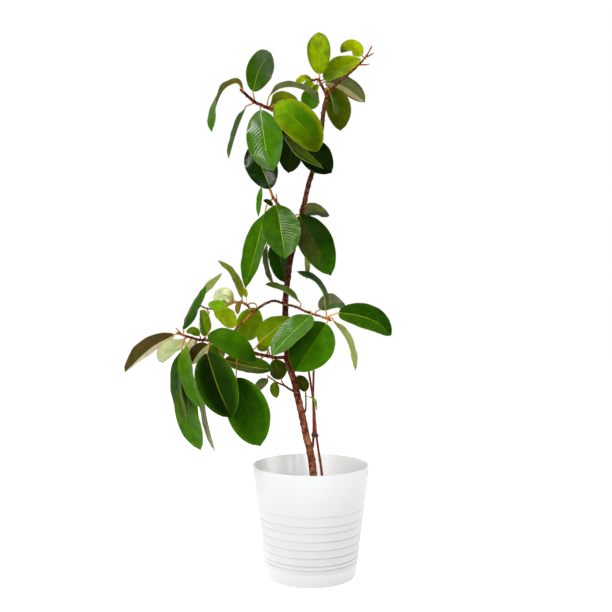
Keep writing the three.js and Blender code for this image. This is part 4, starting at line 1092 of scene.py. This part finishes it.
def potFinish():
    finish = Finish("potSatin", Specular_IOR_Level=0.35)
    blush = finish.cloud(9.0, 2.0)
    x, y, height = finish.split(finish.here())
    lean = (pot["rimRadius"] - pot["footRadius"]) / pot["height"]
    depth = height * lean + pot["footRadius"] - (x * x + y * y) ** 0.5
    skin = finish.mix(blush.between(0.3, 0.7), *(colour(*shade) for shade in pot["outside"]))
    # The inside is a lighter colour than the outside: painted light that lifts the shade inside the pot
    paintedLightInside = depth.between(pot["wall"] * 0.3, pot["wall"] * 0.7)
    skin = finish.mix(paintedLightInside, skin, colour(*pot["inside"]))
    normal = finish.bump(finish.cloud(1400.0), 0.05, 0.0002)
    return finish.wear(Base_Color=skin, Roughness=0.36 + 0.1 * blush, Normal=normal)


def potProfile():
    foot, rounding = pot["footRadius"], pot["footRounding"]
    rings = [(foot * pot["underRing"], 0.0), (foot - rounding, 0.0)]
    for turn in np.radians(np.linspace(0, 90, pot["footSteps"] + 1)[1:]):
        rings.append((foot - rounding * (1 - math.sin(turn)), rounding * (1 - math.cos(turn))))
    # a rib bulges between each groove and the next, and the last one fades into the plain wall
    shares = (1 - np.cos(np.linspace(0, math.pi, pot["grooveSteps"] + 1)[:-1])) / 2
    last = pot["grooves"][-1]
    for start, end in zip(pot["grooves"], (*pot["grooves"][1:], last + 2 * pot["lastBand"])):
        for share in shares[shares <= 0.5] if start == last else shares:
            height = start + (end - start) * share
            dip = pot["grooveDepth"] * abs(2 * share - 1) ** pot["grooveSharpness"]
            rings.append((potRadius(height) - dip, height))
    rings += [(potRadius(height), height) for height in pot["plainRings"]]
    lip = pot["wall"] / 2
    out, up = pot["rimRadius"] - lip, pot["height"] - lip
    for turn in np.radians(np.linspace(0, 180, pot["lipSteps"] + 1)):
        rings.append((out + lip * math.cos(turn), up + lip * math.sin(turn)))
    rings += [(potRadius(height) - pot["wall"], height) for height in pot["insideRings"]]
    rings.append((potRadius(0) - pot["wall"] - pot["insideRounding"], pot["floor"]))
    rings.append((pot["floorRing"], pot["floor"]))
    return rings


# A round piece: the first ring, drawn out to each of the others in turn and closed at both ends
def ringSweep(name, rings, sides):
    radius, height = rings[0]
    bpy.ops.mesh.primitive_circle_add(
        vertices=sides, radius=radius, location=(0, 0, height), fill_type="NOTHING")
    piece = bpy.context.object
    piece.name = name

    def draw():
        bpy.ops.mesh.edge_face_add()
        bpy.ops.mesh.select_all(action="SELECT")
        for (lastRadius, lastHeight), (nextRadius, nextHeight) in zip(rings, rings[1:]):
            bpy.ops.mesh.extrude_edges_move(
                TRANSFORM_OT_translate={"value": (0, 0, nextHeight - lastHeight)})
            share = nextRadius / lastRadius
            bpy.ops.transform.resize(value=(share, share, 1), center_override=(0, 0, nextHeight))
        bpy.ops.mesh.edge_face_add()
        bpy.ops.mesh.select_all(action="SELECT")
        bpy.ops.mesh.normals_make_consistent(inside=False)
    inEditMode(piece, draw)
    return piece


def addPot():
    piece = ringSweep("ribbedPot", potProfile(), pot["sides"])
    finishPiece(piece, potFinish(), "pot", pot["smoothAngle"])
    print("pot made")


# The soil: a low mound with lumps and crumbs
soil = {
    "belowRim": 0.062, "mound": 0.005, "moundRadius": 0.0985, "sink": 0.0016,
    # each kind of lump: its scale, its level in the noise and its height
    "lumps": [(90, 3.0, 0.0016), (260, 9.0, 0.0009)],
    "gap": 0.0005, "footInset": 0.006,
    "footRing": 0.5, "shoulder": 0.012, "edge": 0.004, "surfaceDepth": 0.001, "rings": 26,
    "sides": 96, "crumbs": 420, "crumbSize": (0.0012, 0.0042), "crumbSquash": (0.6, 1.25),
    "crumbRise": 0.3, "seed": 7, "smoothAngle": 40, "dark": (34, 22, 14), "light": (84, 60, 42),
    "patch": (58, 40, 26), "grit": (150, 132, 110),
}


def soilFinish():
    finish = Finish("pottingSoil", Specular_IOR_Level=0.3)
    crumb = finish.cloud(420.0, 5.0, 0.7)
    patch = finish.cloud(60.0, 3.0).between(0.45, 0.75)
    grit = 1.0 - finish.cells(260.0).between(0.05, 0.12)
    skin = finish.mix(crumb.between(0.3, 0.7), colour(*soil["dark"]), colour(*soil["light"]))
    skin = finish.mix(patch * 0.5, skin, colour(*soil["patch"]))
    skin = finish.mix(grit * 0.6, skin, colour(*soil["grit"]))
    normal = finish.bump(crumb, 1.0, 0.002)
    return finish.wear(Base_Color=skin, Roughness=0.88 + 0.1 * crumb, Normal=normal)


def soilHeight(x, y):
    reach = math.hypot(x, y) / soil["moundRadius"]
    mound = soil["mound"] * (1 - reach * reach)
    lumps = [noise.noise((x * scale, y * scale, level)) * height for scale, level, height in soil["lumps"]]
    return pot["height"] - soil["belowRim"] - soil["sink"] + mound + sum(lumps)


def soilBody():
    top = pot["height"] - soil["belowRim"]
    outer = potRadius(top) - pot["wall"] - soil["gap"]
    low = pot["floor"] + soil["gap"]
    foot = potRadius(low) - pot["wall"] - soil["footInset"]
    shoulder = potRadius(soil["shoulder"]) - pot["wall"] - soil["gap"]
    rings = [(foot * soil["footRing"], low), (foot, low), (shoulder, soil["shoulder"])]
    rings += [(outer, top - soil["edge"])]
    rings += [(outer * (1 - k / soil["rings"]), top) for k in range(soil["rings"])]
    body = ringSweep("pottingSoil", rings, soil["sides"])
    corners = cornersOf(body)
    surface = corners[:, 2] > top - soil["surfaceDepth"]
    corners[surface, 2] = [soilHeight(x, y) for x, y in corners[surface, :2]]
    moveCorners(body, corners)
    return body, outer


def addSoil():
    body, outer = soilBody()
    bpy.ops.mesh.primitive_ico_sphere_add(subdivisions=1, radius=1)
    blank = bpy.context.object
    corners = cornersOf(blank)
    rule = random.Random(soil["seed"])
    pieces = [body]
    for number in range(soil["crumbs"]):
        size = rule.uniform(*soil["crumbSize"]) * rule.uniform(0.5, 1) / 2
        reach = (outer - soil["edge"]) * math.sqrt(rule.random())
        turn = rule.uniform(0, 2 * math.pi)
        x, y = reach * math.cos(turn), reach * math.sin(turn)
        squash = [[rule.uniform(*soil["crumbSquash"]) * size for _ in range(3)] for _ in corners]
        crumb = copyOf(blank, f"crumb{number}")
        moveCorners(crumb, corners * squash + (x, y, soilHeight(x, y) + size * soil["crumbRise"]))
        pieces.append(crumb)
    bpy.data.objects.remove(blank)
    finishPiece(joinAll(pieces, "pottingSoil"), soilFinish(), "soil", soil["smoothAngle"])
    print("soil made")


# The tie: a flat strap round both thin shoots, with a small lock. Down is in the picture's dots.
tie = {
    "down": 434.4, "height": 0.0056, "thickness": 0.0013, "gap": 0.0003, "corners": 40,
    "bevel": 0.0003, "lock": (0.0036, 0.0032, 0.0044), "lockForward": 0.4, "lockBevel": 0.0005,
    "smoothAngle": 50,
}


def tieFinish():
    finish = Finish("tieStrap", Specular_IOR_Level=0.5)
    mottle = finish.cloud(500.0, 3.0)
    skin = finish.mix(mottle.between(0.3, 0.7), colour(18, 18, 18), colour(34, 34, 34))
    normal = finish.bump(mottle, 0.3, 0.0003)
    return finish.wear(Base_Color=skin, Roughness=0.4 + 0.2 * mottle, Normal=normal)


def spotAtHeight(places, height, steps=400):
    spots = Line(places).at(np.linspace(0, 1, steps + 1))
    return spots[np.argmin(abs(spots[:, 2] - height))]


def settle(thing):
    pick(thing)
    bpy.ops.object.transform_apply(location=True, rotation=True, scale=True)


def addTie():
    height = place(view["pictureSide"] / 2, tie["down"], 0)[2]
    first, second = (spotAtHeight(shoot["path"], height) for shoot in shoots.values())
    inner = shoots["thin_shoot_soil"]["width"][0] / 2000 + tie["gap"]
    across = (second - first)[:2]
    apart = math.hypot(*across)
    heading = math.atan2(across[1], across[0])
    bpy.ops.mesh.primitive_circle_add(
        vertices=tie["corners"], radius=inner + tie["thickness"] / 2, fill_type="NOTHING",
        location=(*first[:2], first[2] - tie["height"] / 2))
    strap = bpy.context.object
    settle(strap)
    corners = cornersOf(strap)
    toSecond = np.array([math.cos(heading), math.sin(heading)])
    corners[(corners[:, :2] - first[:2]) @ toSecond > 1e-6, :2] += apart * toSecond
    moveCorners(strap, corners)
    inEditMode(strap, lambda: bpy.ops.mesh.extrude_edges_move(
        TRANSFORM_OT_translate={"value": (0, 0, tie["height"])}))
    applyModifier(strap, "SOLIDIFY", thickness=tie["thickness"], offset=0)
    applyModifier(strap, "BEVEL", width=tie["bevel"], segments=2, limit_method="ANGLE")
    lockSpot = Vector(first) - Vector((inner + tie["thickness"], inner * tie["lockForward"], 0))
    bpy.ops.mesh.primitive_cube_add(size=1, location=lockSpot)
    lock = bpy.context.object
    bpy.ops.transform.resize(value=tie["lock"])
    settle(lock)
    applyModifier(lock, "BEVEL", width=tie["lockBevel"], segments=2, limit_method="ANGLE")
    finishPiece(joinAll([strap, lock], "tieStrap"), tieFinish(), "tie", tie["smoothAngle"])
    print("tie made")


# Floor, light and air
studio = {
    # the floor's emission is painted light, brightest near the pot: it fills the pot's shadow on the floor
    # and lights the pot from below
    "floorSize": 12.0, "floorTones": ((244, 244, 244), (247, 247, 247)), "glowReach": (0.2, 1.0),
    "glowTones": ((238, 238, 238), (188, 188, 188)), "airBehind": 1.0, "airAbove": 0.2,
    "airInFront": 0.05, "airBack": (-0.35, 0.3), "airTop": (0.45, 0.9), "aim": (-0.05, 0, 0.55),
    # size, place and power
    "lamps": {
        "key": ((0.8, 0.8), (-1.3, -1.25, 2.15), 21.5),
        "low": ((0.6, 0.6), (-1.3, -2.2, 0.95), 10.8),
        "fill": ((0.9, 0.9), (1.0, -2.3, 1.2), 2.6),
        "top": ((0.5, 0.4), (-0.35, -0.7, 2.4), 7),
    },
    # narrow lamps that light the inside of the pot over its front rim
    "wells": [(0.1, -1.6, 1.75), (0.35, -1.55, 1.7), (0.6, -1.45, 1.7), (0.85, -1.3, 1.65)],
    "wellAim": (0.01, 0.09, 0.2), "wellAngle": 6, "wellRadius": 0.16, "wellPower": 185,
}


def floorFinish():
    finish = Finish("paleFloor", Specular_IOR_Level=0.2, Emission_Strength=1.0)
    blush = finish.cloud(2.0, 2.0)
    skin = finish.mix(blush, *(colour(*shade) for shade in studio["floorTones"]))
    away = finish.add("ShaderNodeVectorMath", {"operation": "LENGTH"}, {0: finish.here()}, output=1)
    near, far = (colour(*shade) for shade in studio["glowTones"])
    # painted light: the floor shines brighter near the pot, filling its shadow and lighting the pot from
    # below
    glow = finish.mix(away.between(*studio["glowReach"]), near, far)
    return finish.wear(Base_Color=skin, Roughness=0.7 + 0.1 * blush, Emission_Color=glow)


def addLamp(kind, name, spot, aim, power):
    bpy.ops.object.light_add(type=kind, location=spot)
    lamp = bpy.context.object
    lamp.name = name
    lamp.rotation_euler = (Vector(aim) - Vector(spot)).to_track_quat("-Z", "Y").to_euler()
    lamp.data.energy = power
    return lamp.data


def addLamps():
    for name, (size, spot, power) in studio["lamps"].items():
        lamp = addLamp("AREA", f"{name}Light", spot, studio["aim"], power)
        lamp.shape = "RECTANGLE"
        lamp.size, lamp.size_y = size
    for number, spot in enumerate(studio["wells"]):
        lamp = addLamp("SPOT", f"wellLight{number}", spot, studio["wellAim"], studio["wellPower"])
        lamp.spot_size = math.radians(studio["wellAngle"])
        lamp.spot_blend = 1.0
        lamp.shadow_soft_size = studio["wellRadius"]


# Pale air, bright behind the plant and dimmer in front of it
def addAir():
    world = bpy.data.worlds.new("paleAir")
    world.use_nodes = True
    air = Nodes(world.node_tree)
    _, depth, height = air.split(air.add("ShaderNodeTexCoord", output="Generated"))
    behind, above = depth.between(*studio["airBack"]), height.between(*studio["airTop"])
    strength = studio["airInFront"] + (studio["airAbove"] - studio["airInFront"]) * above
    strength = strength + (studio["airBehind"] - strength) * behind
    # the backdrop is pale from every side, and lights the leaves only from behind
    backdrop = air.add("ShaderNodeLightPath", output="Is Camera Ray")
    strength = strength + (studio["airBehind"] - strength) * backdrop
    air.plug(air.nodes["Background"].inputs["Strength"], strength)
    air.plug(air.nodes["Background"].inputs["Color"], (1, 1, 1, 1))
    bpy.context.scene.world = world


def addStudio():
    bpy.ops.mesh.primitive_plane_add(size=studio["floorSize"])
    floor = bpy.context.object
    floor.name = "floor"
    floor.data.materials.append(floorFinish())
    addAir()
    addLamps()
    bpy.context.scene.view_settings.view_transform = "Standard"
    print("studio set")


def main():
    leafMaterial, woodMaterial, shootMaterial = leafFinish(), woodFinish(), shootFinish()
    leafBlank = makeLeafBlank()
    for node, spec in plant.items():
        growStem(node, spec, leafBlank, leafMaterial, woodMaterial)
    for node, spec in shoots.items():
        finishPiece(stemTube(node.title().replace("_", ""), spec), shootMaterial, node)
    addPot()
    addSoil()
    addTie()
    addStudio()
    for blank in (leafBlank, *tubeBlanks.values()):
        bpy.data.objects.remove(blank)


main()
print("all pieces made")
